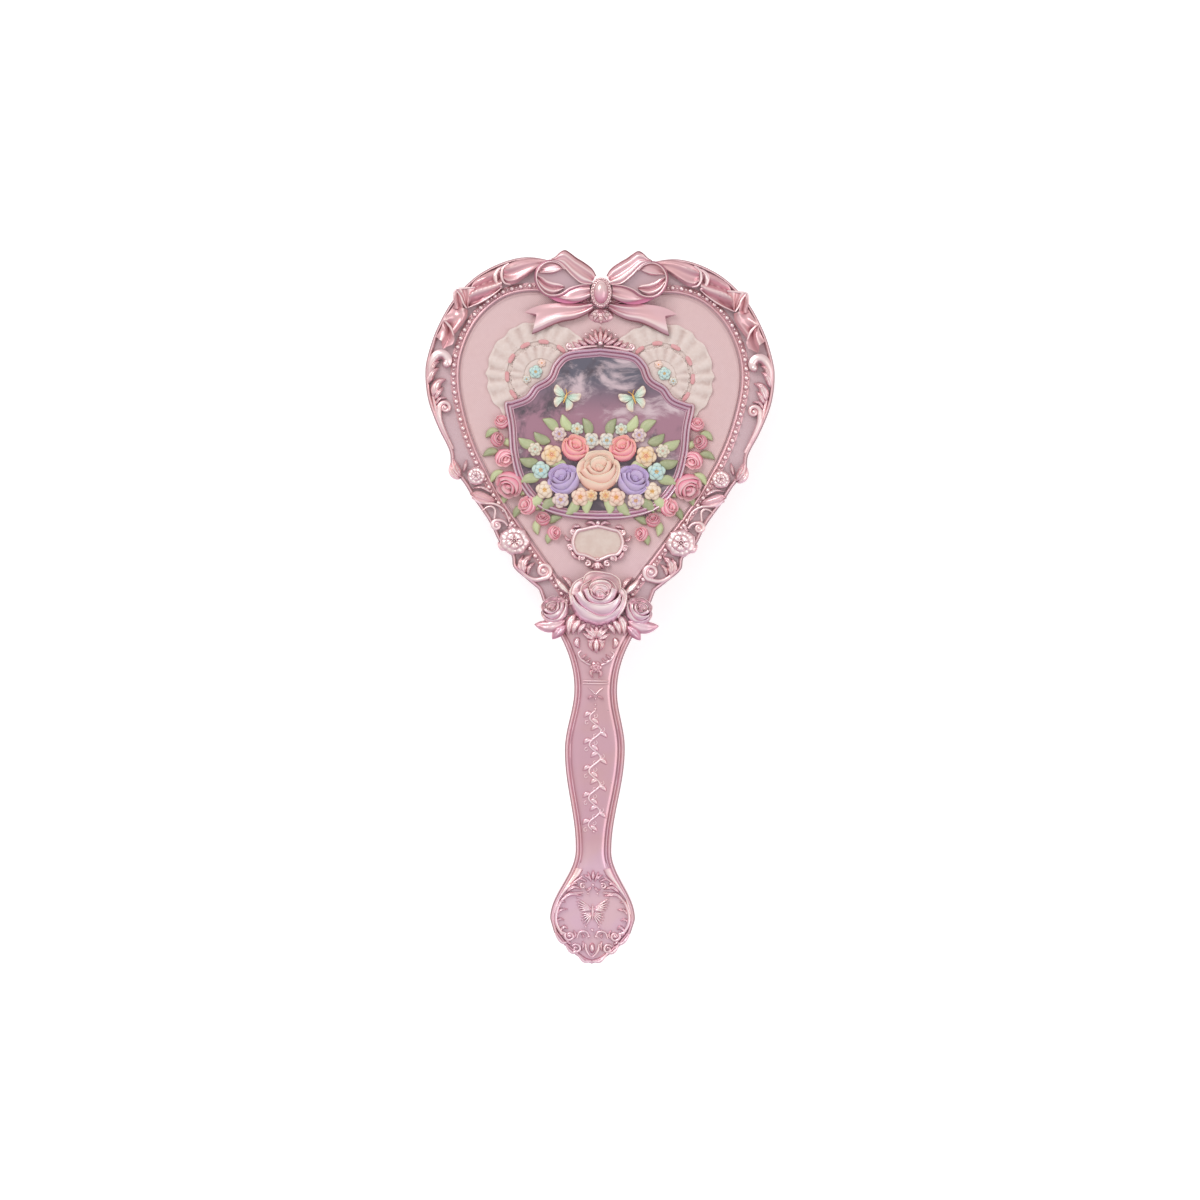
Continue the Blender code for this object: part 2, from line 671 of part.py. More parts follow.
def make_bow(parts, cutters):
    for side in ("left", "right"):
        loop = on_side(smooth(BOW_LOOP, 2, closed=True), side)
        plate(f"bow_loop_{side}", [loop], ON_FIELD, BOW_TOP, parts, PLATED, top=FULL_ROUND)
        tail_loop = on_side(BOW_TAIL, side)
        tail = plate(f"bow_tail_{side}", [tail_loop], ON_FIELD, BOW_TAIL_TOP, parts, PLATED, top=THIN_ROUND)
        foot_loop = on_side(BOW_TAIL_FOOT, side)
        foot = plate(f"bow_tail_{side}_foot", [foot_loop], ON_PANEL, ON_FIELD + CUT_PAST, cutters)
        boolean(tail, hide_cutter(foot), "UNION")
    setting = ellipse(KNOT, SETTING_RADII, 24)
    plate("jewel_setting", [setting], ON_FIELD, SETTING_TOP, parts, PLATED, top=SOFT_ROUND)
    base = SETTING_TOP + GAP
    dome = [(math.sin(a), base + JEWEL_HIGH * math.cos(a)) for a in np.linspace(0, math.pi / 2, 5)]
    turned("bow_jewel", [*dome, (0, base)], KNOT, JEWEL_RADII, parts, PEARL)
    drop = petalled((0, PEARL_DROP_Y), PEARL_DROP_RADII, 3, 24)
    plate("pearl_drop", [drop], ON_PANEL, PEARL_DROP_TOP, parts, PEARL, top=SOFT_ROUND)


def make_side_trim(parts):
    """Ribbon swags, scrolls and flowers, one set on each side of the frame."""
    for side in ("left", "right"):
        sign = np.array([side_sign(side), 1])
        swag = on_side(smooth(SWAG, 2, closed=True), side)
        plate(f"ribbon_swag_{side}", [swag], ON_FIELD, SWAG_TOP, parts, PLATED, top=FULL_ROUND)
        for name, path in (("side", SIDE_SCROLL), ("mid", MID_SCROLL), ("low", LOW_SCROLL)):
            scroll(f"{name}_scroll_{side}", np.array(path) * sign, SCROLL_RADII, ON_FIELD, parts, PLATED)
        for name, (centre, radius, petals, high) in (("bud", BUD), ("floret", FLORET), ("daisy", DAISY)):
            loop = petalled(np.array(centre) * sign, (radius, radius), petals, petals * 4)
            plate(f"{name}_{side}", [loop], ON_FIELD, ON_FIELD + high, parts, PLATED, top=SOFT_ROUND)


def standing(rings, low, high):
    """A turned flower's profile on the level low, from shares of its radius and of its height."""
    return [(radius_share, low + high * height_share) for radius_share, height_share in rings]


def make_neck_roses(parts):
    centre, radius, high = CENTRE_ROSE
    turned("centre_rose", standing(ROSE_RINGS, ON_FIELD, high), centre, (radius, radius), parts, PLATED)
    for side in ("left", "right"):
        sign = np.array([side_sign(side), 1])
        centre, radius, high = SIDE_ROSE
        centre = np.array(centre) * sign
        rose = standing(ROSE_RINGS, ON_FIELD, high)
        turned(f"side_rose_{side}", rose, centre, (radius, radius), parts, PLATED, steps=16)
        leaf = on_side(smooth(ROSE_LEAF, 2, closed=True), side)
        plate(f"rose_leaf_{side}", [leaf], ON_FIELD, ROSE_LEAF_TOP, parts, PLATED, top=THIN_ROUND)
    drop = mirrored(smooth(NECK_DROP, 2))
    plate("neck_drop", [drop], ON_FIELD, NECK_DROP_TOP, parts, PLATED, top=THIN_ROUND)


# Emblem on the panel


def plaque_loop():
    return mirrored(smooth(PLAQUE, 2))


def crest_loop():
    return mirrored(smooth(CREST, 2))


def make_plaque(parts):
    outline = plaque_loop()
    inner = grown(outline, -PLAQUE_FRAME_WIDTH)
    plate("plaque_frame", [outline, inner], ON_PANEL, PLAQUE_FRAME_TOP, parts, PLATED)
    plate("plaque_plate", [grown(inner, -GAP)], ON_PANEL, PLAQUE_PLATE_TOP, parts, MIRROR)
    plate("plaque_crest", [crest_loop()], ON_PANEL, CREST_TOP, parts, PLATED, top=THIN_ROUND)


def garland_loop():
    """A band along the garland's path whose edges wave in and out with the flowers."""
    line = smooth(GARLAND_PATH, 4)
    ahead = np.gradient(line, axis=0)
    ahead /= np.linalg.norm(ahead, axis=1, keepdims=True)
    across = np.stack([-ahead[:, 1], ahead[:, 0]], 1)
    share = np.linspace(0, 1, len(line))
    wave = 0.5 - 0.5 * np.cos(2 * math.pi * GARLAND_WAVES * share)
    half = GARLAND_HALF_WIDTH * (1 - GARLAND_WAVE_DEPTH * wave)
    return np.vstack([line + across * half[:, None], (line - across * half[:, None])[::-1]])


def make_posy(parts, cutters):
    """A bed of leaves with the flowers fused to it."""
    bed = petalled(POSY_CENTRE, POSY_RADII, POSY_LEAVES, POSY_LEAVES * 4)
    posy = plate("posy", [bed], ON_PLATE, POSY_BED_TOP, parts, BLOSSOM, top=SOFT_ROUND)
    for rings, steps, flowers in ((ROSE_RINGS, 12, POSY_ROSES), (BLOSSOM_DOME, 8, POSY_BLOSSOMS)):
        for (x, y), radius, top in flowers:
            profile = standing(rings, POSY_FLOWER_FOOT, top - POSY_FLOWER_FOOT)
            for place in sorted({(x, y), (-x, y)}):
                flower = turned("posy_flower", profile, place, (radius, radius), cutters, BLOSSOM, steps)
                boolean(posy, hide_cutter(flower), "UNION")


def make_emblem_trim(parts, cutters):
    """Lace, garlands and label; what lies beside the plaque is cut clear of it."""
    low = ON_PANEL - CUT_PAST
    plaque_room = plate("plaque_room", [grown(plaque_loop(), GAP)], low, PLAQUE_FRAME_TOP + GAP, cutters)
    crest_room = plate("crest_room", [grown(crest_loop(), GAP)], low, CREST_TOP + GAP, cutters)
    for side in ("left", "right"):
        centre = np.array(LACE_CENTRE) * [side_sign(side), 1]
        edge = petalled(centre, (LACE_RADIUS, LACE_RADIUS), LACE_PLEATS, LACE_PLEATS * 4, LACE_SCALLOP)
        lace = plate(f"lace_{side}", [edge], ON_PANEL, LACE_TOP, parts, LACE_WHITE)
        boolean(lace, hide_cutter(crest_room), "DIFFERENCE")
        band = on_side(garland_loop(), side)
        garland = plate(f"garland_{side}", [band], ON_PANEL, GARLAND_TOP, parts, ROSE_PINK, top=SOFT_ROUND)
        for piece in (lace, garland):
            boolean(piece, hide_cutter(plaque_room), "DIFFERENCE")
    label = mirrored(smooth(LABEL, 2))
    inner = grown(label, -LABEL_FRAME_WIDTH)
    plate("label_frame", [label, inner], ON_PANEL, LABEL_FRAME_TOP, parts, PLATED)
    plate("label_plate", [grown(inner, -GAP)], ON_PANEL, LABEL_PLATE_TOP, parts, CREAM)


def make_pommel_medallion(parts):
    centre = (0, MEDALLION_CENTRE_Y)
    inner_radii = [r - MEDALLION_BAND for r in MEDALLION_RADII]
    rings = [petalled(centre, MEDALLION_RADII, MEDALLION_LOBES, MEDALLION_LOBES * 4, MEDALLION_SCALLOP)]
    rings.append(ellipse(centre, inner_radii, MEDALLION_LOBES * 3))
    plate("pommel_medallion", rings, ON_FIELD, MEDALLION_TOP, parts, PLATED)
    plate("pommel_butterfly", [mirrored(smooth(BUTTERFLY, 2))], ON_FIELD, BUTTERFLY_TOP, parts, PLATED)


def main():
    clear_scene()
    parts = collection("vanity_hairbrush")
    cutters = collection("cutters")
    make_front_shell(parts, cutters)
    make_back_shell(parts, cutters)
    make_screws(parts)
    make_air_cushion(parts, cutters)
    make_pins(parts, cutters)
    make_panel_and_beads(parts)
    make_bow(parts, cutters)
    make_side_trim(parts)
    make_neck_roses(parts)
    make_plaque(parts)
    make_emblem_trim(parts, cutters)
    make_posy(parts, cutters)
    make_pommel_medallion(parts)


main()
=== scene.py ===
"""Vanity hairbrush: carved relief, finishes, studio and camera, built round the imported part."""

import json
import math
from collections import namedtuple

import bmesh
import bpy
import numpy as np
from bpy.props import FloatProperty, FloatVectorProperty, PointerProperty
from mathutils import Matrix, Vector
from mathutils.geometry import tessellate_polygon

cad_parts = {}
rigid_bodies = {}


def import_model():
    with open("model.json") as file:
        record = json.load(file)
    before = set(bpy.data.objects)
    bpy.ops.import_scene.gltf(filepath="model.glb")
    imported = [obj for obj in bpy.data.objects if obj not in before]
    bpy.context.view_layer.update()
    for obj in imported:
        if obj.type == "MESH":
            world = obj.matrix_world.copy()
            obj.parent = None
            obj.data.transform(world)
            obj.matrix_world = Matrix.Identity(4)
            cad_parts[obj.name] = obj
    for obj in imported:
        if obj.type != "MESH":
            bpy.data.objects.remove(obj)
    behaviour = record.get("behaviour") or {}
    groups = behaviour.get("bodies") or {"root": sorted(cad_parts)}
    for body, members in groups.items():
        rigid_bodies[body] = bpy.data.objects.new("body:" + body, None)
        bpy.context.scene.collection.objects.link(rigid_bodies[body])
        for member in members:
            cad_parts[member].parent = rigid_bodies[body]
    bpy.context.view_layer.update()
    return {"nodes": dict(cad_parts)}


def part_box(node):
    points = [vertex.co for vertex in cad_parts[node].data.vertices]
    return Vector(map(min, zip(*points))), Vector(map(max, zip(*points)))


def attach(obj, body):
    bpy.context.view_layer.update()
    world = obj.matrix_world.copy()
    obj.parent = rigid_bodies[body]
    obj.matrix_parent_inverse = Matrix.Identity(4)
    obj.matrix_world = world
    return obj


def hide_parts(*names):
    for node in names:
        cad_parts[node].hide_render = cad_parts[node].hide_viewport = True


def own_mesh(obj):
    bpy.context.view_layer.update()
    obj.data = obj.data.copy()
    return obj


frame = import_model()

bl_info = {
    "name": "Vanity Hairbrush",
    "version": (1, 0, 0),
    "blender": (4, 5, 0),
    "location": "View3D > Sidebar > Brush",
    "description": "Builds the carved relief, finishes and studio of a heart-shaped vanity hairbrush",
    "category": "Object",
}

MM = 0.001
BODY = "brush_body"
PAD = "pin_pad"


def foot_of(node):
    """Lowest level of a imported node, in millimetres."""
    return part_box(node)[0].z / MM


def top_of(node):
    """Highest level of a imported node, in millimetres."""
    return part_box(node)[1].z / MM


# Levels, in millimetres above the pin tips
RIM_TOP = top_of("back_shell")
HANDLE_FACE = RIM_TOP - 1.2
BACK_FOOT = foot_of("back_shell")
PARTING = top_of("front_shell")
FRONT_FACE = foot_of("front_shell")
PANEL = top_of("inlay_panel")
EMBLEM_FOOT = PANEL - 0.2
PLATE_TOP = top_of("plaque_plate")
SKIN = top_of("pins_left") - 0.6

# Body outline, right half: the wavy frame of the head, then the handle's narrowest and widest half-widths
HEAD = [
    (0, 107.5), (6.0, 110.3), (14.0, 114.8), (24.0, 117.0), (33.0, 115.2), (42.0, 110.3), (49.5, 102.5),
    (54.8, 93.0), (57.8, 84.0), (58.7, 77.5), (57.6, 68.5), (54.2, 59.5), (50.2, 51.5), (49.4, 45.8),
    (45.4, 41.0), (42.2, 36.0), (36.6, 28.0), (33.0, 21.0), (29.0, 16.8), (28.2, 12.8), (24.3, 9.2),
    (19.6, 5.4),
]
HANDLE = [(-28.0, 7.2), (-48.0, 10.1), (-82.0, 6.0), (-105.0, 14.3)]
NECK_TOP = -4.0
NECK_SPREAD = 0.0156
POMMEL_TIP = [(12.9, -109.6), (9.9, -113.4), (6.4, -116.5), (2.6, -119.2), (0, -120.0)]

# Heart of the panel, right half from the notch to the tip
HEART = [
    (0, 100.0), (6.5, 101.6), (15.0, 104.6), (25.0, 105.4), (34.0, 102.6), (41.5, 95.6), (46.0, 86.5),
    (47.4, 77.0), (45.8, 66.0), (41.6, 53.0), (34.0, 38.5), (24.0, 24.0), (14.5, 11.0), (7.0, 1.0), (0, -3.5),
]
HEART_CENTRE = np.array([0.0, 58.0])
# Shares of that heart: the opening for the cushion, and the field of the pins
OPENING = 0.96
PIN_FIELD = 0.82
# The lowest pins, and where the lower sheet of pins ends
PINS_FROM = 19.5
PINS_SPLIT = 46.0
# The rose at the tip, and the radius that the beads leave to it
ROSE_CENTRE = np.array([0.37, 2.68])
ROSE_CLEAR = 9.0


# Plane curves


def spline(points, count):
    """Smooth curve through the points: cubic blends of four neighbours, walked again in even steps."""
    p = np.asarray(points, float)
    p = np.vstack([2 * p[0] - p[1], p, 2 * p[-1] - p[-2]])
    t = np.linspace(0, 1, 16, endpoint=False)[None, :, None]
    a, b, c, d = (p[i : len(p) - 3 + i, None] for i in range(4))
    fine = 0.5 * (2 * b + (c - a) * t + (2 * a - 5 * b + 4 * c - d) * t**2 + (3 * b - a - 3 * c + d) * t**3)
    return evenly(np.vstack([fine.reshape(-1, p.shape[1]), p[-2:-1]]), count)


def evenly(path, count, closed=False):
    """The same path in even steps of its length."""
    steps = np.linalg.norm(np.diff(path, axis=0), axis=1)
    along = np.concatenate([[0], np.cumsum(steps)])
    at = np.linspace(0, along[-1], count + closed)[:count]
    return np.stack([np.interp(at, along, column) for column in path.T], 1)


def whole(right_half):
    """The closed loop of a right half that starts and ends on the centre line."""
    return np.vstack([right_half, right_half[-2:0:-1] * [-1, 1]])


def outward(loop):
    """Unit normals of a loop, averaged with their neighbours so that an inset doesn't fold in tight bends."""
    ahead = np.roll(loop, -1, 0) - np.roll(loop, 1, 0)
    x, y = loop.T
    turn = np.sign(np.sum(x * np.roll(y, -1) - np.roll(x, -1) * y))
    normal = turn * np.stack([ahead[:, 1], -ahead[:, 0]], 1)
    normal /= np.linalg.norm(normal, axis=1, keepdims=True)
    for _ in range(6):
        normal = np.roll(normal, 1, 0) + 2 * normal + np.roll(normal, -1, 0)
        normal /= np.linalg.norm(normal, axis=1, keepdims=True)
    return normal


def inset(loop, distance):
    """A loop moved inwards by a distance along its normals."""
    return loop - distance * outward(loop)


def handle_half_width(y):
    """Half-width of the handle: a spread below the neck, then eased by cosines between the stations."""
    levels, widths = np.array(HANDLE).T
    spread = widths[0] + NECK_SPREAD * (y - levels[0]) ** 2
    at = np.clip(np.searchsorted(-levels, -y, side="right") - 1, 0, len(levels) - 2)
    share = np.clip((y - levels[at]) / (levels[at + 1] - levels[at]), 0, 1)
    eased = widths[at] + (widths[at + 1] - widths[at]) * (1 - np.cos(np.pi * share)) / 2
    return np.where(y >= levels[0], spread, eased)


def body_outline(count=360):
    """Head, handle and pommel as one closed loop."""
    y = np.linspace(NECK_TOP, HANDLE[-1][0], 90)
    handle = np.stack([handle_half_width(y), y], 1)
    right = np.vstack([spline(HEAD, 260), spline([HEAD[-1], handle[0]], 8)[1:-1], handle, POMMEL_TIP])
    return whole(evenly(right, count))


def heart(scale=1.0, count=220):
    """The panel's heart as a closed loop, scaled about its centre."""
    loop = whole(spline(HEART, count))
    return (loop - HEART_CENTRE) * scale + HEART_CENTRE


def spiral(centre, start_angle, turns, outer, inner, count=40):
    """A volute: the radius closes evenly from outer to inner while the angle winds."""
    angle = start_angle + np.linspace(0, 2 * np.pi * turns, count)
    radius = np.linspace(outer, inner, count)
    return np.asarray(centre) + np.stack([radius * np.cos(angle), radius * np.sin(angle)], 1)


def ring_of(count, spin=0.0):
    """A number of angles evenly round a turn."""
    return spin + 2 * np.pi * np.arange(count) / count


def circle(centre, radius, count):
    """Places evenly round a circle, or round an ellipse of two radii."""
    turn = ring_of(count)
    return np.asarray(centre) + np.asarray(radius) * np.stack([np.cos(turn), np.sin(turn)], 1)


def sideways(path):
    """Unit directions to the left of a plane path."""
    ahead = np.gradient(path, axis=0)
    return np.stack([-ahead[:, 1], ahead[:, 0]], 1) / np.linalg.norm(ahead, axis=1, keepdims=True)


def at_level(path, level):
    """A plane path lifted to a level, one number or one for each point."""
    return np.column_stack([path, np.broadcast_to(level, len(path))])


def grid(*coordinates):
    """Points from arrays of each coordinate, spread to one shape."""
    return np.stack(np.broadcast_arrays(*coordinates), -1)


def bell(value, middle, width):
    """A bell curve: 1 at its middle, about a third of that one width away."""
    return np.exp(-(((value - middle) / width) ** 2))


# Closed surfaces: points in millimetres, faces, a tone from hollow to crest that the finishes turn into
# painted shade and painted highlight, and a paint colour

Solid = namedtuple("Solid", "points quads triangles tone paint")
NO_TRIANGLES = np.zeros((0, 3), int)
WHITE = (1.0, 1.0, 1.0)
UP = np.array([0.0, 0.0, 1.0])
# Tints of the plating, several of them painted shade or painted highlight
# Magenta painted shade under the bow's loops and on the jewel's lower part.
MAGENTA_SHADE = (1.0, 0.55, 0.85)
SHADED = (0.86, 0.72, 0.84)
GROUND = (1.02, 1.16, 1.18)
GRIP = (0.88, 0.89, 0.91)
RECESS = (0.8, 0.9, 0.92)
# Painted highlight on the pommel's shoulders.
SHOULDER_HIGHLIGHT = (1.15, 1.35, 1.22)
# The plated roses are painted paler as painted light against their own shade; the next tint, paler still, is
# painted highlight for lips, leaves, the shell and the wing ribs.
PETAL = (1.06, 1.06, 1.2)
PALE_HIGHLIGHT = (1.15, 1.36, 1.28)
FROND = (0.98, 0.92, 0.98)
# Painted shade for outer edges and dark edge lines.
EDGE_SHADE = (0.55, 0.45, 0.45)
# A softer painted highlight for blooms, leaves and the fan.
SOFT_HIGHLIGHT = (1.05, 1.14, 1.12)
SILVERED = (0.9, 0.96, 1.06)
NECK = (0.93, 0.98, 0.97)
MUTED = (0.97, 0.93, 0.92)


def solid(points, quads, triangles=NO_TRIANGLES, tone=None, paint=WHITE):
    """A closed surface. Its tone runs from 0 at its foot to 1 at its crest unless given; the finishes paint
    shade where it is low and highlight where it is high.
    """
    points = np.reshape(points, (-1, 3))
    if tone is None:
        level = points[:, 2]
        tone = (level - level.min()) / max(np.ptp(level), 1e-6)
    tone = np.broadcast_to(np.ravel(tone), len(points))
    paint = np.broadcast_to(np.reshape(paint, (-1, 3)), (len(points), 3))
    return Solid(points, quads, triangles, tone, paint)


def grid_quads(rows, columns, close_rows=False, close_columns=False):
    """Corner numbers of a grid's faces, joined end to start in each closed direction."""
    index = np.arange(rows * columns).reshape(rows, columns)
    if close_rows:
        index = np.vstack([index, index[:1]])
    if close_columns:
        index = np.hstack([index, index[:, :1]])
    return np.stack([index[:-1, :-1], index[1:, :-1], index[1:, 1:], index[:-1, 1:]], -1).reshape(-1, 4)


def repeated(quads, copies, points_each):
    """The same faces for each of a number of copies whose points follow one another."""
    return (quads[None] + np.arange(copies)[:, None, None] * points_each).reshape(-1, 4)


# Undersides of the carving, as shares of what is above them
FOLD_WIDTH = 0.4
FOLD_LENGTH = 0.86
LEAF_WIDTH = 0.45
ROSE_WIDTH = 0.74


def sheets(tops, foot, tone=None, paint=WHITE, under=None):
    """Solids under curved patches: each patch, the same patch or another plan under it at its foot, and walls
    between them. Unless given, their tone runs from 0 at the lowest edge to 1 at the crest."""
    tops = np.asarray(tops, float)
    copies, rows, columns = tops.shape[:3]
    below = tops.copy()
    below[..., 2] = foot
    if under is not None:
        below[..., :2] = under
    rise = tops[..., 2] - below[..., 2]
    if tone is None:
        tone = (rise - rise.min()) / max(np.ptp(rise), 1e-6)
    tone = np.broadcast_to(tone, rise.shape)
    paint = np.broadcast_to(paint, tops.shape)
    ring = np.concatenate([tops, below[:, :, ::-1]], 2)
    j = np.arange(columns - 1)
    last = (rows - 1) * 2 * columns
    end = np.stack([j, j + 1, 2 * columns - 2 - j, 2 * columns - 1 - j], 1)
    quads = np.vstack([grid_quads(rows, 2 * columns, close_columns=True), end, end + last])
    return solid(
        ring, repeated(quads, copies, rows * 2 * columns),
        tone=np.concatenate([tone, np.zeros_like(rise)], 2),
        paint=np.concatenate([paint, paint[:, :, ::-1]], 2),
    )


def tube(path, radius, flat=1.0, sides=12, closed=False, flutes=0, depth=0.0, tone=None, paint=WHITE):
    """An oval carried along a path, square to it, with cosine flutes, drawn to a point at open ends."""
    path = np.asarray(path, float)
    ahead = np.roll(path, -1, 0) - np.roll(path, 1, 0) if closed else np.gradient(path, axis=0)
    ahead /= np.linalg.norm(ahead, axis=1, keepdims=True)
    side = np.cross(UP, ahead)
    side /= np.linalg.norm(side, axis=1, keepdims=True)
    over = np.cross(ahead, side)
    turn = ring_of(sides)
    share = 1 + depth * np.cos(flutes * turn)
    radius = np.broadcast_to(radius, len(path))[:, None, None]
    across = (share * np.cos(turn))[None, :, None] * side[:, None]
    upright = (flat * share * np.sin(turn))[None, :, None] * over[:, None]
    rings = path[:, None] + radius * (across + upright)
    if not closed:
        ends = np.repeat(path[[0, -1], None], sides, 1)
        rings = np.concatenate([ends[:1], rings, ends[1:]])
    return solid(rings, grid_quads(len(rings), sides, closed, True), tone=tone, paint=paint)


def tapered(count, start, middle, end, peak=0.5):
    """A radius that eases from start to middle at the peak, then to end."""
    t = np.linspace(0, 1, count)
    return np.interp(t, [0, peak, 1], [start, middle, end])


def scroll(path, radii, level, count=60, flat=1.0, flutes=0, depth=0.0, peak=0.5):
    """A bar along a plane path, with its radius eased through three values and its middle at the level."""
    line = spline(path, count)
    return tube(at_level(line, level), tapered(count, *radii, peak), flat, flutes=flutes, depth=depth)


def moulding(loop, profile, tone=None, paint=WHITE):
    """A closed profile of (distance inside the loop, level) carried round a loop."""
    distance, level = np.asarray(profile, float).T
    plan = loop[None] - distance[:, None, None] * outward(loop)[None]
    if tone is not None:
        tone = np.repeat(tone, len(loop))
    quads = grid_quads(len(profile), len(loop), True, True)
    return solid(at_sheet(plan, level[:, None]), quads, tone=tone, paint=paint)


def plate(loops, low, high, tone=1.0, paint=WHITE):
    """A flat slab with any holes: filled faces above and below, and a wall round each loop."""
    flat = np.vstack(loops)
    count = len(flat)
    caps = np.array(tessellate_polygon([[Vector((x, y, 0)) for x, y in loop] for loop in loops]))
    starts = np.cumsum([0] + [len(loop) for loop in loops])
    walls = []
    for start, stop in zip(starts, starts[1:]):
        here = np.arange(start, stop)
        ahead = np.roll(here, -1)
        walls.append(np.stack([here, ahead, ahead + count, here + count], 1))
    points = np.vstack([at_level(flat, low), at_level(flat, high)])
    return solid(points, np.vstack(walls), np.vstack([caps, caps + count]), tone=tone, paint=paint)


def turned(centre, profile, radii=(1.0, 1.0), sides=40, tone=None, paint=WHITE):
    """A profile of (radius, level), from axis to axis, spun upright and made oval."""
    radius, level = np.asarray(profile, float).T
    turn = ring_of(sides)[None]
    x = centre[0] + radii[0] * radius[:, None] * np.cos(turn)
    y = centre[1] + radii[1] * radius[:, None] * np.sin(turn)
    quads = grid_quads(len(profile), sides, close_columns=True)
    return solid(grid(x, y, level[:, None]), quads, tone=tone, paint=paint)


def domed(centre, foot, top, radii, rows=10, sides=40, power=2.0, tone=None, paint=WHITE):
    """A crowned oval: the level falls as the power of the share of the radius."""
    share = np.linspace(0, 1, rows)
    level = foot + (top - foot) * (1 - share**power) ** (1 / power)
    profile = np.vstack([np.stack([share, level], 1), [[0, foot]]])
    return turned(centre, profile, radii, sides, tone, paint)


def balls(places, radius, rows=6, sides=8, paint=WHITE):
    """A round bead at each place."""
    places = np.atleast_2d(np.asarray(places, float))
    polar = np.linspace(0, np.pi, rows + 1)[:, None]
    turn = ring_of(sides)[None]
    unit = grid(np.sin(polar) * np.cos(turn), np.sin(polar) * np.sin(turn), np.cos(polar))
    radius = np.broadcast_to(radius, len(places))[:, None, None, None]
    points = places[:, None, None] + radius * unit[None]
    # Each bead's tone is highest on top, which gives a painted highlight there and painted shade underneath.
    tone = np.broadcast_to(0.5 + 0.5 * np.cos(polar), points.shape[:3])
    quads = repeated(grid_quads(rows + 1, sides, close_columns=True), len(places), (rows + 1) * sides)
    paint = np.broadcast_to(np.reshape(paint, (-1, 1, 1, 3)), points.shape)
    return solid(points, quads, tone=tone, paint=paint)


def patch(edge_a, edge_b, end=None, rows=48, columns=19):
    """Plane patch between two smooth edges, its far end drawn to a broken line if one is given."""
    a, b = spline(edge_a, rows), spline(edge_b, rows)
    v = np.linspace(0, 1, columns)[None, :, None]
    flat = a[:, None] * (1 - v) + b[:, None] * v
    if end is not None:
        corners = np.asarray(end, float)
        at = np.linspace(0, 1, len(corners))
        line = np.stack([np.interp(v[0, :, 0], at, column) for column in corners.T], 1)
        fade = np.linspace(0, 1, rows)[:, None, None] ** 4
        flat = flat + fade * (line - flat[-1])[None]
    return flat


def at_sheet(flat, level):
    """A plane patch lifted to a level, one number or one for each point, as a list of one sheet."""
    return np.concatenate([flat, np.broadcast_to(level, flat.shape[:2])[..., None]], 2)[None]


def crowned(flat, foot, low, crown):
    """A swell over a plane patch: its edges ease through a few levels along it, with a crown across it."""
    u = np.linspace(0, 1, flat.shape[0])
    v = np.linspace(0, 1, flat.shape[1])[None]
    edges = np.interp(u, np.linspace(0, 1, len(low)), low)[:, None]
    return sheets(at_sheet(flat, edges + crown * (1 - (2 * v - 1) ** 2) ** 0.7), foot)


def drawn_in(flat):
    """A plane patch drawn in about its middle line and made a little shorter, as a fold's underside is."""
    rows = np.arange(len(flat))
    places = rows.mean() + FOLD_LENGTH * (rows - rows.mean())
    before = np.minimum(places.astype(int), len(flat) - 2)
    part = (places - before)[:, None, None]
    shorter = flat[before] * (1 - part) + flat[before + 1] * part
    middle = shorter.mean(1, keepdims=True)
    return middle + FOLD_WIDTH * (shorter - middle)


def pleated(flat, foot, base, starts, ends, paint=WHITE):
    """A ribbon over a plane patch with sharp pleats: across it the level runs nearly straight from crease to
    crease, and the creases, pairs of (share across, rise) at its two ends, drift evenly along it."""
    u = np.linspace(0, 1, flat.shape[0])[:, None, None]
    v = np.linspace(0, 1, flat.shape[1])[None]
    creases = np.asarray(starts) * (1 - u) + np.asarray(ends) * u
    level = base + creases[:, :1, 1] + 0 * v
    for near, far in zip(creases.swapaxes(0, 1)[:-1], creases.swapaxes(0, 1)[1:]):
        share = np.clip((v - near[:, :1]) / (far[:, :1] - near[:, :1]), 0, 1)
        level = level + (far[:, 1:] - near[:, 1:]) * share * (0.5 + 0.5 * share * (3 - 2 * share))
    return sheets(at_sheet(flat, level), foot, paint=paint, under=drawn_in(flat))


def leaf(spine, width, foot, low, high, lobes=0, cut=0.3, paint=WHITE, rib=0.2, rows=30, columns=13,
         blunt=0.8, waves=0.1):
    """A leaf along a spine: its half-width swells and closes as a sine, cut by lobes, and its back is
    crowned, grooved along the rib and waved by side veins."""
    path = spline(spine, rows)
    t = np.linspace(0, 1, rows)[:, None]
    a = np.linspace(-1, 1, columns)[None]
    side = sideways(path)
    half = width * np.sin(np.pi * t**blunt) ** 0.75
    half = half * (1 - cut * (0.5 - 0.5 * np.cos(2 * np.pi * lobes * t)))
    plan = path[:, None] + side[:, None] * (half * a)[..., None]
    rise = high - low
    level = low + rise * np.sin(np.pi * (0.08 + 0.9 * t)) ** 0.6 * (1 - 0.7 * a**2)
    level = level - rib * rise * bell(a, 0, 0.18) * np.sin(np.pi * t)
    vein = np.sin(2 * np.pi * ((lobes or 4) * t - 0.9 * np.abs(a)))
    level = level + waves * rise * vein * np.abs(a) * (1 - a**2)
    under = path[:, None] + LEAF_WIDTH * (plan - path[:, None])
    return sheets(at_sheet(plan, level), foot, paint=paint, under=under)


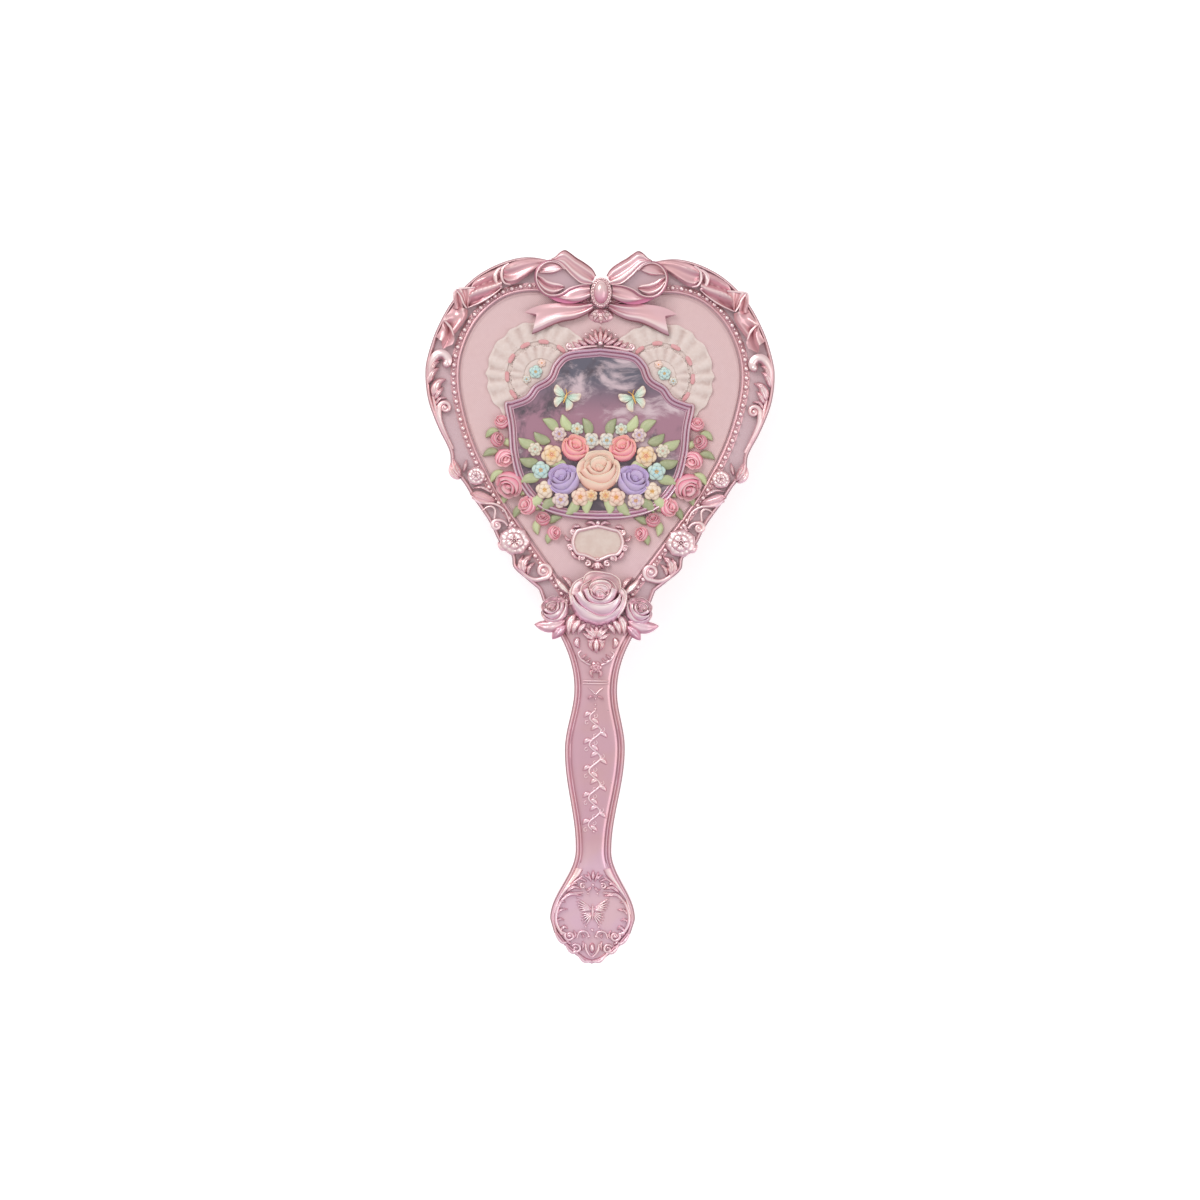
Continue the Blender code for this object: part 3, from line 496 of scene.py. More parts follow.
# Petals of an open rose, in shares of its radius: lip, root, height of each, and how round it is between them
ROSE_PETALS = [
    ([(-0.55, 0.58), (-0.48, 0.79), (-0.33, 0.92), (-0.07, 0.95), (0.21, 0.91), (0.48, 0.86), (0.72, 0.70),
      (0.79, 0.46), (0.75, 0.26)],
     [(-0.26, 0.26), (-0.10, 0.38), (0.09, 0.42), (0.27, 0.38), (0.43, 0.22)], 0.6, 0.42, 0.8),
    ([(-0.45, 0.77), (-0.80, 0.58), (-0.96, 0.33), (-1.00, 0.09), (-0.93, -0.22)],
     [(-0.24, 0.57), (-0.43, 0.33), (-0.45, 0.09), (-0.34, -0.15)], 0.55, 0.4, 0.9),
    ([(0.72, 0.45), (0.94, 0.29), (1.00, 0.02), (0.92, -0.33), (0.70, -0.67)],
     [(0.41, 0.33), (0.51, 0.05), (0.38, -0.29)], 0.52, 0.35, 1.2),
    ([(-0.88, 0.15), (-0.70, -0.14), (-0.38, -0.36), (-0.03, -0.55), (0.24, -0.57), (0.48, -0.48),
      (0.75, -0.19), (0.83, 0.10)],
     [(-0.99, -0.02), (-0.87, -0.43), (-0.62, -0.74), (-0.27, -0.89), (0.03, -0.95), (0.34, -0.87),
      (0.65, -0.70), (0.95, -0.29)], 0.66, 0.06, 2.2),
    ([(-0.38, 0.26), (-0.31, 0.51), (-0.07, 0.67), (0.21, 0.69), (0.48, 0.58), (0.64, 0.33), (0.60, 0.09)],
     [(-0.14, 0.26), (-0.07, 0.39), (0.07, 0.45), (0.21, 0.43), (0.34, 0.34), (0.38, 0.19)], 0.74, 0.55, 0.8),
    ([(-0.26, 0.65), (-0.55, 0.46), (-0.62, 0.22), (-0.55, -0.05), (-0.29, -0.22)],
     [(-0.12, 0.43), (-0.21, 0.26), (-0.15, 0.02)], 0.7, 0.52, 0.9),
    ([(-0.57, 0.26), (-0.39, -0.05), (-0.14, -0.15), (0.14, -0.17), (0.41, -0.12),
      (0.65, 0.03), (0.75, 0.21)],
     [(-0.84, 0.10), (-0.65, -0.19), (-0.38, -0.41), (-0.03, -0.60), (0.24, -0.62), (0.51, -0.51),
      (0.80, -0.14)], 0.85, 0.52, 2.0),
    ([(-0.33, 0.27), (-0.27, 0.50), (-0.07, 0.63), (0.21, 0.64), (0.41, 0.52), (0.47, 0.27)],
     [(-0.24, 0.12), (-0.10, 0.00), (0.09, -0.06), (0.26, 0.03), (0.41, 0.21)], 0.92, 0.72, 0.9),
    ([(-0.34, 0.36), (-0.27, 0.14), (-0.10, -0.01), (0.09, -0.06), (0.26, 0.03), (0.41, 0.22), (0.46, 0.38)],
     [(-0.53, 0.27), (-0.38, -0.05), (-0.14, -0.19), (0.14, -0.21), (0.41, -0.15), (0.61, 0.07),
      (0.65, 0.31)], 0.97, 0.68, 2.0),
    ([(-0.12, 0.22), (-0.03, 0.31), (0.07, 0.33), (0.21, 0.24), (0.34, 0.11)],
     [(-0.09, 0.05), (0.03, -0.02), (0.14, -0.03), (0.26, 0.02)], 0.95, 0.82, 1.0),
    ([(0.03, 0.22), (0.13, 0.23), (0.22, 0.17), (0.28, 0.08)],
     [(0.02, 0.04), (0.09, 0.00), (0.15, -0.01), (0.21, 0.02)], 0.99, 0.86, 1.0),
]
# The two petals that a large rose has besides, round its bud
BUD_PETALS = [
    ([(-0.24, 0.20), (-0.20, 0.37), (-0.05, 0.49), (0.17, 0.50), (0.33, 0.39), (0.38, 0.18)],
     [(-0.16, 0.10), (-0.05, 0.02), (0.08, -0.03), (0.22, 0.03), (0.32, 0.14)], 0.95, 0.76, 0.9),
    ([(-0.22, 0.30), (-0.17, 0.14), (-0.02, 0.05), (0.15, 0.04), (0.29, 0.14), (0.35, 0.29)],
     [(-0.32, 0.24), (-0.24, 0.05), (-0.04, -0.05), (0.17, -0.06), (0.36, 0.08), (0.44, 0.26)],
     0.97, 0.78, 1.8),
]


def rose(centre, radius, foot, top, turn=0.0, heart_paint=WHITE, lip_paint=WHITE, rows=24, columns=13,
         petals=ROSE_PETALS):
    """Overlapping petals, each a sheet from its rolled lip to its root: cups in front, open ones behind.
    A petal's height falls between the two as a rounded corner with shallow folds, and its ends sink."""
    u = np.linspace(-1, 1, rows)[:, None]
    v = np.linspace(0, 1, columns)[None] ** 1.5
    spin = np.array([[math.cos(turn), math.sin(turn)], [-math.sin(turn), math.cos(turn)]])
    roll = 0.045 * bell(v, 0.08, 0.05) - 0.05 * bell(v, 0, 0.03)
    # The tone gives a painted highlight just inside the rolled lip and painted shade at the root and at the
    # lip's very edge.
    tone = np.interp(v, [0, 0.02, 0.07, 0.2, 0.75, 0.92, 1], [0.1, 0.8, 1.0, 0.88, 0.8, 0.5, 0.1]) + 0 * u
    share = np.interp(v, [0, 0.12, 0.3, 1], [0.85, 1.0, 0.55, 0.0])[..., None] + 0 * u[..., None]
    paint = np.asarray(heart_paint) * (1 - share) + np.asarray(lip_paint) * share
    tops = []
    for i, (lip, root, high, low, bulge) in enumerate(petals):
        edge, end = spline(lip, rows), spline(root, rows)
        plan = centre + radius * (edge[:, None] + (end - edge)[:, None] * v[..., None]) @ spin
        height = low + (high - low) * (1 - v**bulge) ** (1 / bulge)
        fold = 0.016 * np.sin(7.0 * u + 3.0 * v + 2.1 * i) * np.sin(np.pi * v) ** 2
        height = (height + roll + fold) * (1 - 0.12 * u**6)
        tops.append(np.concatenate([plan, foot + (top - foot) * height[..., None]], 2))
    under = np.asarray(centre) + ROSE_WIDTH * (np.array(tops)[..., :2] - centre)
    return [sheets(tops, foot, tone, paint, under)]


def rays(centre, angles, radius, width, foot, low, high, paint=WHITE, tip_paint=None):
    """Petals round a centre: each widens as a sine, ends in half an ellipse, and has a crowned back with a
    groove along it."""
    angles = np.asarray(angles, float)[:, None, None]
    t = 1 - (1 - np.linspace(0, 1, 10)[None, :, None]) ** 1.7
    a = np.linspace(-1, 1, 7)[None, None]
    swell = 0.25 + 0.75 * np.sin(np.pi / 2 * np.clip(t / 0.6, 0, 1))
    half = width * np.where(t < 0.6, swell, np.sqrt(np.clip(1 - ((t - 0.6) / 0.4) ** 2, 0, 1)))
    reach = radius * (0.12 + 0.88 * t) + 0 * a
    across = half * a
    x = centre[0] + reach * np.cos(angles) - across * np.sin(angles)
    y = centre[1] + reach * np.sin(angles) + across * np.cos(angles)
    rise = (high - low) * (1 - 0.6 * a**2 - 0.25 * bell(a, 0, 0.25))
    level = low + rise * np.sin(np.pi * (0.25 + 0.6 * t)) + 0 * angles
    share = t[..., None] * np.ones((len(angles), 1, a.size, 1))
    tip_paint = paint if tip_paint is None else tip_paint
    colours = np.asarray(paint) * (1 - share) + np.asarray(tip_paint) * share
    return sheets(grid(x, y, level), foot, paint=colours)


def bloom(centre, radii, count, width, foot, low, high, spin=0.0):
    """Grooved petals that reach from a centre to an ellipse, each a leaf that is widest near its tip."""
    petals = []
    for angle in ring_of(count, spin):
        way = np.array([radii[0] * math.cos(angle), radii[1] * math.sin(angle)])
        spine = [centre + 0.12 * way, centre + 0.55 * way, centre + way]
        shape = {"rib": 0.25, "rows": 18, "columns": 11, "blunt": 1.4, "waves": 0.0}
        # Each petal has a soft painted highlight.
        petals.append(leaf(spine, width, foot, low, high, paint=SOFT_HIGHLIGHT, **shape))
    return petals


def eye(centre, radius, foot, top):
    """Domed middle of a flower with a ring of seeds."""
    seeds = at_level(circle(centre, radius, 8), top - 0.4)
    return [domed(centre, foot, top, (radius, radius), 6, 16), balls(seeds, 0.4 * radius)]


def blossom(centre, radius, foot, top, count, paint=WHITE, tip_paint=None, eye_paint=WHITE, spin=0.0):
    """A flower of two layers of petals, the smaller one above and between the others, and a beaded eye."""
    tall = top - foot
    width = 0.8 * radius * math.sin(math.pi / count)
    made = []
    for turn, reach, broad, low, high in ((0.0, 1.0, 1.0, 0.35, 0.75),
                                          (math.pi / count, 0.72, 0.75, 0.55, 0.95)):
        angles = ring_of(count, spin + turn)
        levels = foot, foot + low * tall, foot + high * tall
        made.append(rays(centre, angles, reach * radius, broad * width, *levels, paint, tip_paint))
    made.append(domed(centre, foot, foot + 0.9 * tall, (0.2 * radius, 0.2 * radius), 6, 14, paint=eye_paint))
    seeds = at_level(circle(centre, 0.2 * radius, 8), foot + 0.8 * tall)
    made.append(balls(seeds, 0.075 * radius, paint=eye_paint))
    return made


def wing(root, outline, foot, low, high, ribs, paint, edge_paint):
    """A butterfly wing: its outline drawn in to the root by shares, crowned, with ribs fanned from there."""
    edge = spline(outline, 40)
    share = np.linspace(0.02, 1, 14)[None, :, None]
    plan = np.asarray(root) + share * (edge[:, None] - root)
    s = np.linspace(0, 1, 40)[:, None]
    crown = np.sin(np.pi * (0.1 + 0.75 * share[..., 0])) + 0.3 * np.cos(2 * np.pi * ribs * s)
    level = low + (high - low) * crown
    fade = share**3 * np.ones((40, 1, 1))
    colours = np.asarray(paint) * (1 - fade) + np.asarray(edge_paint) * fade
    return sheets(at_sheet(plan, level), foot, paint=colours[None])


def mirrored(solids):
    """The same solids on the other side of the centre line."""
    return [part._replace(points=part.points * [-1, 1, 1]) for part in solids]


# Pieces

WELD = 0.001 * MM
SHARP_ANGLE = math.radians(55)


def make_piece(name, solids, look, body=BODY):
    """Joins solids into one mesh, welds seams and poles, turns faces outward and gives it a finish."""
    points = np.concatenate([part.points for part in solids]) * MM
    starts = np.cumsum([0] + [len(part.points) for part in solids])
    quads = np.concatenate([part.quads + start for part, start in zip(solids, starts)])
    triangles = np.concatenate([part.triangles + start for part, start in zip(solids, starts)])
    corners = np.concatenate([quads.ravel(), triangles.ravel()])
    first = np.concatenate([np.arange(len(quads)) * 4, len(quads) * 4 + np.arange(len(triangles)) * 3])
    mesh = bpy.data.meshes.new(name)
    mesh.vertices.add(len(points))
    mesh.vertices.foreach_set("co", points.ravel())
    mesh.loops.add(len(corners))
    mesh.loops.foreach_set("vertex_index", corners.astype(np.int32))
    mesh.polygons.add(len(first))
    mesh.polygons.foreach_set("loop_start", first.astype(np.int32))
    tone = mesh.attributes.new("tone", "FLOAT", "POINT")
    tone.data.foreach_set("value", np.concatenate([part.tone for part in solids]).astype(np.float32))
    paint = np.concatenate([part.paint for part in solids])
    colour = mesh.attributes.new("paint", "FLOAT_COLOR", "POINT")
    opaque = np.column_stack([paint, np.ones(len(paint))])
    colour.data.foreach_set("color", opaque.astype(np.float32).ravel())
    mesh.update(calc_edges=True)
    bm = bmesh.new()
    bm.from_mesh(mesh)
    bmesh.ops.remove_doubles(bm, verts=bm.verts, dist=WELD)
    bmesh.ops.recalc_face_normals(bm, faces=bm.faces)
    bm.to_mesh(mesh)
    bm.free()
    mesh.shade_smooth()
    mesh.set_sharp_from_angle(angle=SHARP_ANGLE)
    mesh.materials.append(finish(look))
    piece = bpy.data.objects.new(name, mesh)
    bpy.context.scene.collection.objects.link(piece)
    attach(piece, body)
    return piece


def dress(node, solids, look="plated", body=BODY):
    """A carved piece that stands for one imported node."""
    piece = make_piece(node + "_relief", solids, look, body)
    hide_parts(node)
    return piece


def dress_pair(stem, right, look="plated"):
    """Carved pieces for the right and left node of a pair."""
    dress(stem + "_right", right, look)
    dress(stem + "_left", mirrored(right), look)


# Finishes


class Nodes:
    """A node tree with short ways to add a node, set its sockets and read its result."""

    def __init__(self, tree):
        self.tree = tree

    def feed(self, socket, value):
        """Links a socket to another's result, or sets its plain value."""
        if isinstance(value, bpy.types.NodeSocket):
            self.tree.links.new(value, socket)
        else:
            socket.default_value = value

    def add(self, kind, sockets=None, out=0, **settings):
        """A node with its sockets and settings, as one of its results."""
        node = self.tree.nodes.new(kind)
        for key, value in settings.items():
            setattr(node, key, value)
        for key, value in (sockets or {}).items():
            self.feed(node.inputs[key], value)
        return node.outputs[out]

    def mix(self, share, a, b, blend="MIX"):
        """Two colours blended by a share."""
        return self.add("ShaderNodeMix", {0: share, 6: a, 7: b}, 2, data_type="RGBA", blend_type=blend)

    def math(self, operation, a, b=0.0):
        """A sum, product or the like of two values."""
        return self.add("ShaderNodeMath", {0: a, 1: b}, operation=operation)

    def span(self, value, low, high, to_low=0.0, to_high=1.0):
        """A value eased from one range into another."""
        return self.add("ShaderNodeMapRange", {0: value, 1: low, 2: high, 3: to_low, 4: to_high},
                        interpolation_type="SMOOTHSTEP")

    def noise(self, place, scale, detail=3.0, roughness=0.55):
        """Clouds at a place."""
        sockets = {"Vector": place, "Scale": scale, "Detail": detail, "Roughness": roughness}
        return self.add("ShaderNodeTexNoise", sockets)

    def place(self):
        """Where a point is on its piece."""
        return self.add("ShaderNodeTexCoord", out=3)

    def tone(self):
        """A point's tone, from hollow to crest, which sets painted shade and painted highlight."""
        return self.add("ShaderNodeAttribute", out=2, attribute_name="tone")

    def paint(self):
        """A point's paint."""
        return self.add("ShaderNodeAttribute", out=0, attribute_name="paint")


def node_group(name, inputs, outputs, build):
    """A shader node group made once: build gets its nodes and inputs and returns its outputs by name."""
    made = bpy.data.node_groups.get(name)
    if made:
        return made
    made = bpy.data.node_groups.new(name, "ShaderNodeTree")
    for socket, (kind, default) in inputs.items():
        made.interface.new_socket(socket, in_out="INPUT", socket_type=kind).default_value = default
    for socket, kind in outputs.items():
        made.interface.new_socket(socket, in_out="OUTPUT", socket_type=kind)
    nodes = Nodes(made)
    given = made.nodes.new("NodeGroupInput")
    result = made.nodes.new("NodeGroupOutput")
    for socket, value in build(nodes, given.outputs).items():
        made.links.new(value, result.inputs[socket])
    return made


COLOUR = "NodeSocketColor"
VALUE = "NodeSocketFloat"
PALE = (1.0, 1.0, 1.0, 1.0)
BUMP_DEPTH = 0.1 * MM


def relief_shade():
    """Painted shade and highlight: darker in hollows, paler on crests, and a cool painted shade on the slopes
    that face the handle.
    """

    def build(nodes, given):
        tone = nodes.tone()
        body = nodes.mix(nodes.span(tone, 0.0, 0.4), given["Hollow"], given["Colour"])
        body = nodes.mix(nodes.span(tone, 0.6, 1.0, 0.0, 0.75), body, given["Crest"])
        facing = nodes.add("ShaderNodeSeparateXYZ", {0: nodes.add("ShaderNodeTexCoord", out=1)}, out=1)
        below = nodes.span(nodes.math("MULTIPLY", facing, -1.0), 0.1, 0.85)
        return {"Colour": nodes.mix(nodes.math("MULTIPLY", below, given["Cast Share"]), body, given["Cast"])}

    inputs = dict.fromkeys(("Colour", "Crest", "Hollow", "Cast"), (COLOUR, PALE))
    inputs["Cast Share"] = VALUE, 0.5
    return node_group("Relief Shade", inputs, {"Colour": COLOUR}, build)


def pearl_drift():
    """A slow drift of colour over the whole part: warm cloudy patches, and cooler towards the pommel."""

    def build(nodes, given):
        place = nodes.place()
        along = nodes.add("ShaderNodeSeparateXYZ", {0: place}, out=1)
        tinted = nodes.mix(nodes.span(along, -0.11, 0.06), given["Far"], given["Near"])
        cloud = nodes.span(nodes.noise(place, 95.0, 2.0), 0.38, 0.66, 0.0, 0.55)
        warm = nodes.mix(cloud, tinted, given["Warm"])
        return {"Colour": nodes.mix(1.0, given["Colour"], warm, "MULTIPLY")}

    inputs = dict.fromkeys(("Colour", "Near", "Far", "Warm"), (COLOUR, PALE))
    return node_group("Pearl Drift", inputs, {"Colour": COLOUR}, build)


def fine_grain():
    """A fine cloudy grain: a roughness that varies a little, and a height for the bump."""

    def build(nodes, given):
        fine = nodes.noise(nodes.place(), given["Scale"], 4.0)
        centred = nodes.math("MULTIPLY", nodes.math("SUBTRACT", fine, 0.5), given["Variation"])
        return {"Roughness": nodes.math("ADD", given["Roughness"], centred), "Height": fine}

    inputs = {"Scale": (VALUE, 900.0), "Roughness": (VALUE, 0.35), "Variation": (VALUE, 0.2)}
    return node_group("Fine Grain", inputs, {"Roughness": VALUE, "Height": VALUE}, build)


def satin_weave():
    """Crossed threads: sine ridges along and across, with the over and under of a plain weave."""

    def build(nodes, given):
        x, y = (nodes.add("ShaderNodeSeparateXYZ", {0: nodes.place()}, out=axis) for axis in (0, 1))
        wave_x = nodes.math("SINE", nodes.math("MULTIPLY", x, given["Threads"]))
        wave_y = nodes.math("SINE", nodes.math("MULTIPLY", y, given["Threads"]))
        cross = nodes.math("MULTIPLY", wave_x, wave_y)
        slub = nodes.noise(nodes.place(), 520.0, 4.0)
        height = nodes.math("ADD", nodes.math("MULTIPLY", cross, 0.5), slub)
        return {"Height": height, "Mask": nodes.span(height, 0.1, 1.0)}

    return node_group("Satin Weave", {"Threads": (VALUE, 9000.0)}, {"Height": VALUE, "Mask": VALUE}, build)


def new_finish(name, **constants):
    """A material with its Principled shader's plain values set, and the tree to feed it from."""
    made = bpy.data.materials.new(name)
    made.use_nodes = True
    nodes = Nodes(made.node_tree)
    shader = made.node_tree.nodes["Principled BSDF"]
    for socket, value in constants.items():
        shader.inputs[socket.replace("_", " ")].default_value = value
    return made, nodes, shader


def place_group(nodes, group, **sockets):
    """A group placed in a material with its own values."""
    node = nodes.tree.nodes.new("ShaderNodeGroup")
    node.node_tree = group
    for key, value in sockets.items():
        nodes.feed(node.inputs[key.replace("_", " ")], value)
    return node.outputs


def coat(nodes, shader, colour, roughness, height=None, strength=0.0):
    """Feeds a shader its colour, its roughness and, given a height, a bump."""
    nodes.feed(shader.inputs["Base Color"], colour)
    nodes.feed(shader.inputs["Roughness"], roughness)
    if height is not None:
        sockets = {"Height": height, "Strength": strength, "Distance": BUMP_DEPTH}
        nodes.feed(shader.inputs["Normal"], nodes.add("ShaderNodeBump", sockets))


def rgba(name):
    """One of the brush's colours, opaque."""
    return (*getattr(bpy.context.scene.brush_colours, name), 1.0)


def plated_finish():
    """Satin pink plating and a clear coat, with painted shade in the hollows, painted highlight on the crests
    and a lilac painted shade on the slopes below.
    """
    made, nodes, shader = new_finish("plated_pink", Metallic=0.6, Coat_Weight=0.12, Coat_Roughness=0.25)
    shade = place_group(nodes, relief_shade(), Colour=rgba("plating"), Crest=rgba("crest"),
                        Hollow=rgba("hollow_shade_and_speck"), Cast=rgba("cast"), Cast_Share=0.55)
    drift = place_group(nodes, pearl_drift(), Colour=shade["Colour"], Near=PALE, Far=(0.97, 0.9, 1.0, 1.0),
                        Warm=(1.0, 0.95, 0.9, 1.0))
    grain = place_group(nodes, fine_grain(), Scale=300.0, Roughness=0.3, Variation=0.12)
    tinted = nodes.mix(1.0, drift["Colour"], nodes.paint(), "MULTIPLY")
    coat(nodes, shader, tinted, grain["Roughness"])
    return made


def field_finish():
    """Matte, finely stippled ground of the frame."""
    made, nodes, shader = new_finish("stippled_field", Metallic=0.35, Coat_Weight=0.08)
    grain = place_group(nodes, fine_grain(), Scale=2600.0, Roughness=0.5, Variation=0.25)
    drift = place_group(nodes, pearl_drift(), Colour=rgba("field"), Near=PALE, Far=(0.99, 0.95, 1.0, 1.0),
                        Warm=(1.0, 0.97, 0.95, 1.0))
    speck = nodes.mix(nodes.span(grain["Height"], 0.35, 0.65, 0.0, 0.25), drift["Colour"], rgba("hollow_shade_and_speck"))
    coat(nodes, shader, speck, grain["Roughness"], grain["Height"], 0.35)
    return made


def panel_finish():
    """Pearly satin with a fine weave, paler and cooler towards the tip as painted light against the shade
    there.
    """
    made, nodes, shader = new_finish("satin_panel", Metallic=0.12, Sheen_Weight=0.2)
    weave = place_group(nodes, satin_weave(), Threads=9000.0)
    # Painted light: the far colour makes the panel paler and cooler towards the tip, against the shade of the
    # rose, garlands and label.
    drift = place_group(nodes, pearl_drift(), Colour=rgba("panel"), Near=PALE, Far=(1.18, 1.16, 1.36, 1.0),
                        Warm=(1.0, 0.985, 0.97, 1.0))
    shade = nodes.mix(1.0, drift["Colour"], (0.93, 0.9, 0.9, 1.0), "MULTIPLY")
    colour = nodes.mix(weave["Mask"], shade, drift["Colour"])
    coat(nodes, shader, colour, nodes.span(weave["Mask"], 0.0, 1.0, 0.55, 0.42), weave["Height"], 0.3)
    return made


def painted_finish():
    """Hand-painted moulding: each point's paint, with painted shade darker in the hollows, and uneven under
    the brush.
    """
    made, nodes, shader = new_finish("painted_moulding", Coat_Weight=0.15, Coat_Roughness=0.3)
    tone = nodes.tone()
    paint = nodes.paint()
    # Painted shade: the paint darkened, shown where the tone is low.
    painted_shade = nodes.mix(1.0, paint, (0.7, 0.5, 0.52, 1.0), "MULTIPLY")
    colour = nodes.mix(nodes.span(tone, 0.0, 0.55), painted_shade, paint)
    stroke = nodes.span(nodes.noise(nodes.place(), 480.0, 4.0), 0.35, 0.7, 0.0, 0.14)
    colour = nodes.mix(stroke, colour, rgba("cream"))
    grain = place_group(nodes, fine_grain(), Scale=1900.0, Roughness=0.45, Variation=0.2)
    coat(nodes, shader, colour, grain["Roughness"], grain["Height"], 0.18)
    return made


def lace_finish():
    """Cream moulded lace: soft pleat shadows, pink ribbon where painted, and a faint mottle."""
    made, nodes, shader = new_finish("moulded_lace", Sheen_Weight=0.15)
    paint = nodes.paint()
    tone = nodes.tone()
    shadow = nodes.mix(1.0, paint, (0.6, 0.47, 0.45, 1.0), "MULTIPLY")
    colour = nodes.mix(nodes.span(tone, 0.0, 0.75), shadow, paint)
    grain = place_group(nodes, fine_grain(), Scale=900.0, Roughness=0.68, Variation=0.2)
    fleck = nodes.span(grain["Height"], 0.35, 0.7, 0.0, 0.12)
    coat(nodes, shader, nodes.mix(fleck, colour, PALE), grain["Roughness"], grain["Height"], 0.25)
    return made


def painted_reflection_finish():
    """Polished plate with a painted reflection: pale clouds over grey at the top, lilac in the middle and
    dark violet pools below.
    """
    made, nodes, shader = new_finish("plate_painted_reflection", Metallic=0.35, Coat_Weight=0.4, Coat_Roughness=0.1)
    place = nodes.place()
    along = nodes.add("ShaderNodeSeparateXYZ", {0: place}, out=1)
    drift = nodes.add("ShaderNodeTexNoise", {"Vector": place, "Scale": 42.0}, 1)
    warp = nodes.add("ShaderNodeVectorMath", {0: drift, 1: (0.02, 0.02, 0.02)}, operation="MULTIPLY")
    moved = nodes.add("ShaderNodeVectorMath", {0: place, 1: warp}, operation="ADD")
    streaked = nodes.add("ShaderNodeMapping", {0: moved, 2: (0.0, 0.0, 0.5), 3: (0.6, 1.5, 1.0)})
    cloud = nodes.noise(moved, 62.0, 6.0, 0.62)
    veil = nodes.noise(streaked, 80.0, 6.0, 0.62)
    high = nodes.span(along, 0.062, 0.078)
    ground = nodes.mix(high, rgba("reflection_lilac"), rgba("reflection_grey"))
    pool = nodes.math("ADD", cloud, nodes.span(along, 0.032, 0.07, -0.1, 0.06))
    colour = nodes.mix(nodes.span(pool, 0.42, 0.56), rgba("reflection_dark"), ground)
    colour = nodes.mix(nodes.span(veil, 0.48, 0.64, 0.0, 0.95), colour, rgba("reflection_pale"))
    coat(nodes, shader, colour, nodes.span(veil, 0.3, 0.7, 0.16, 0.34))
    return made


def pearl_finish():
    """Pink pearl: a soft body under a hard clear coat, with painted shade deeper round the edge."""
    made, nodes, shader = new_finish("pink_pearl", Metallic=0.25, Coat_Weight=0.9, Coat_Roughness=0.05)
    tone = nodes.tone()
    colour = nodes.mix(nodes.span(tone, 0.0, 0.9), rgba("hollow_shade_and_speck"), rgba("pearl"))
    colour = nodes.mix(1.0, colour, nodes.paint(), "MULTIPLY")
    grain = place_group(nodes, fine_grain(), Scale=700.0, Roughness=0.22, Variation=0.1)
    coat(nodes, shader, colour, grain["Roughness"])
    return made


def label_finish():
    """Bare cream enamel with a faint mottle."""
    made, nodes, shader = new_finish("cream_label", Coat_Weight=0.2, Coat_Roughness=0.2)
    grain = place_group(nodes, fine_grain(), Scale=420.0, Roughness=0.42, Variation=0.15)
    shade = nodes.mix(1.0, rgba("label"), (0.92, 0.87, 0.86, 1.0), "MULTIPLY")
    colour = nodes.mix(nodes.span(grain["Height"], 0.3, 0.7), shade, rgba("label"))
    coat(nodes, shader, colour, grain["Roughness"], grain["Height"], 0.1)
    return made


def rubber_finish():
    """Soft matt rubber with a fine grain and a dusty bloom."""
    made, nodes, shader = new_finish("cushion_rubber", Sheen_Weight=0.15)
    grain = place_group(nodes, fine_grain(), Scale=1500.0, Roughness=0.62, Variation=0.15)
    dust = nodes.span(nodes.noise(nodes.place(), 160.0), 0.4, 0.7, 0.0, 0.3)
    colour = nodes.mix(dust, rgba("rubber"), rgba("nylon"))
    coat(nodes, shader, colour, grain["Roughness"], grain["Height"], 0.2)
    return made


def nylon_finish():
    """Smooth nylon, a little paler at the ball tips."""
    made, nodes, shader = new_finish("pin_nylon", Subsurface_Weight=0.1, Subsurface_Scale=0.001)
    tone = nodes.tone()
    grain = place_group(nodes, fine_grain(), Scale=2400.0, Roughness=0.3, Variation=0.1)
    colour = nodes.mix(nodes.span(tone, 0.0, 1.0), rgba("nylon"), rgba("crest"))
    coat(nodes, shader, colour, grain["Roughness"])
    return made


def steel_finish():
    """Plain steel with fine drawn lines."""
    made, nodes, shader = new_finish("screw_steel", Metallic=1.0)
    stretched = nodes.add("ShaderNodeMapping", {0: nodes.place(), 3: (1.0, 14.0, 1.0)})
    lines = nodes.noise(stretched, 700.0, 4.0)
    colour = nodes.mix(lines, (0.46, 0.46, 0.47, 1.0), (0.62, 0.62, 0.63, 1.0))
    coat(nodes, shader, colour, nodes.span(lines, 0.2, 0.8, 0.3, 0.45))
    return made


FINISHES = {
    "plated": plated_finish, "field": field_finish, "panel": panel_finish, "painted": painted_finish,
    "lace": lace_finish, "painted_reflection": painted_reflection_finish, "pearl": pearl_finish, "label": label_finish,
    "rubber": rubber_finish, "nylon": nylon_finish, "steel": steel_finish,
}
made_finishes = {}


def finish(name):
    """The finish of that name, made on first use."""
    if name not in made_finishes:
        made_finishes[name] = FINISHES[name]()
    return made_finishes[name]


# Shells

# Even tone of the smooth front, the radius of its edge, and the width that its edge takes of its face
FRONT_TONE = 0.5
FRONT_RADIUS = 2.2
FRONT_EDGE = 3.5
# From the cushion's lowest point to the foot that stays put when the pad goes in
CUSHION_DEPTH = 6.8
# Section of the rim: share of its width, drop below its crest, and tone for painted shade and highlight
RIM_SECTION = [
    (0.0, -2.6, 0.4), (0.02, -1.7, 0.4), (0.05, -1.4, 0.05), (0.27, -0.65, 0.05), (0.4, -0.2, 0.4),
    (0.53, 0.0, 0.85), (0.7, -0.15, 0.8), (0.86, -0.6, 0.4), (0.97, -1.3, 0.1),
]


def rim(outline, trim):
    """Raised rim round the body: an upright outer wall, a rounded crest and a wall down to the field."""
    width = trim.rim_width / MM
    crest = [(share * width, RIM_TOP + drop) for share, drop, _ in RIM_SECTION]
    tone = [0.4, *[tone for *_, tone in RIM_SECTION], 0.1]
    made = moulding(outline, [(0, BACK_FOOT), *crest, (width, BACK_FOOT)], tone)
    # The outer wall, lowest in tone, is painted dark as edge shade.
    return made._replace(paint=np.where(made.tone[:, None] < 0.1, EDGE_SHADE, WHITE))


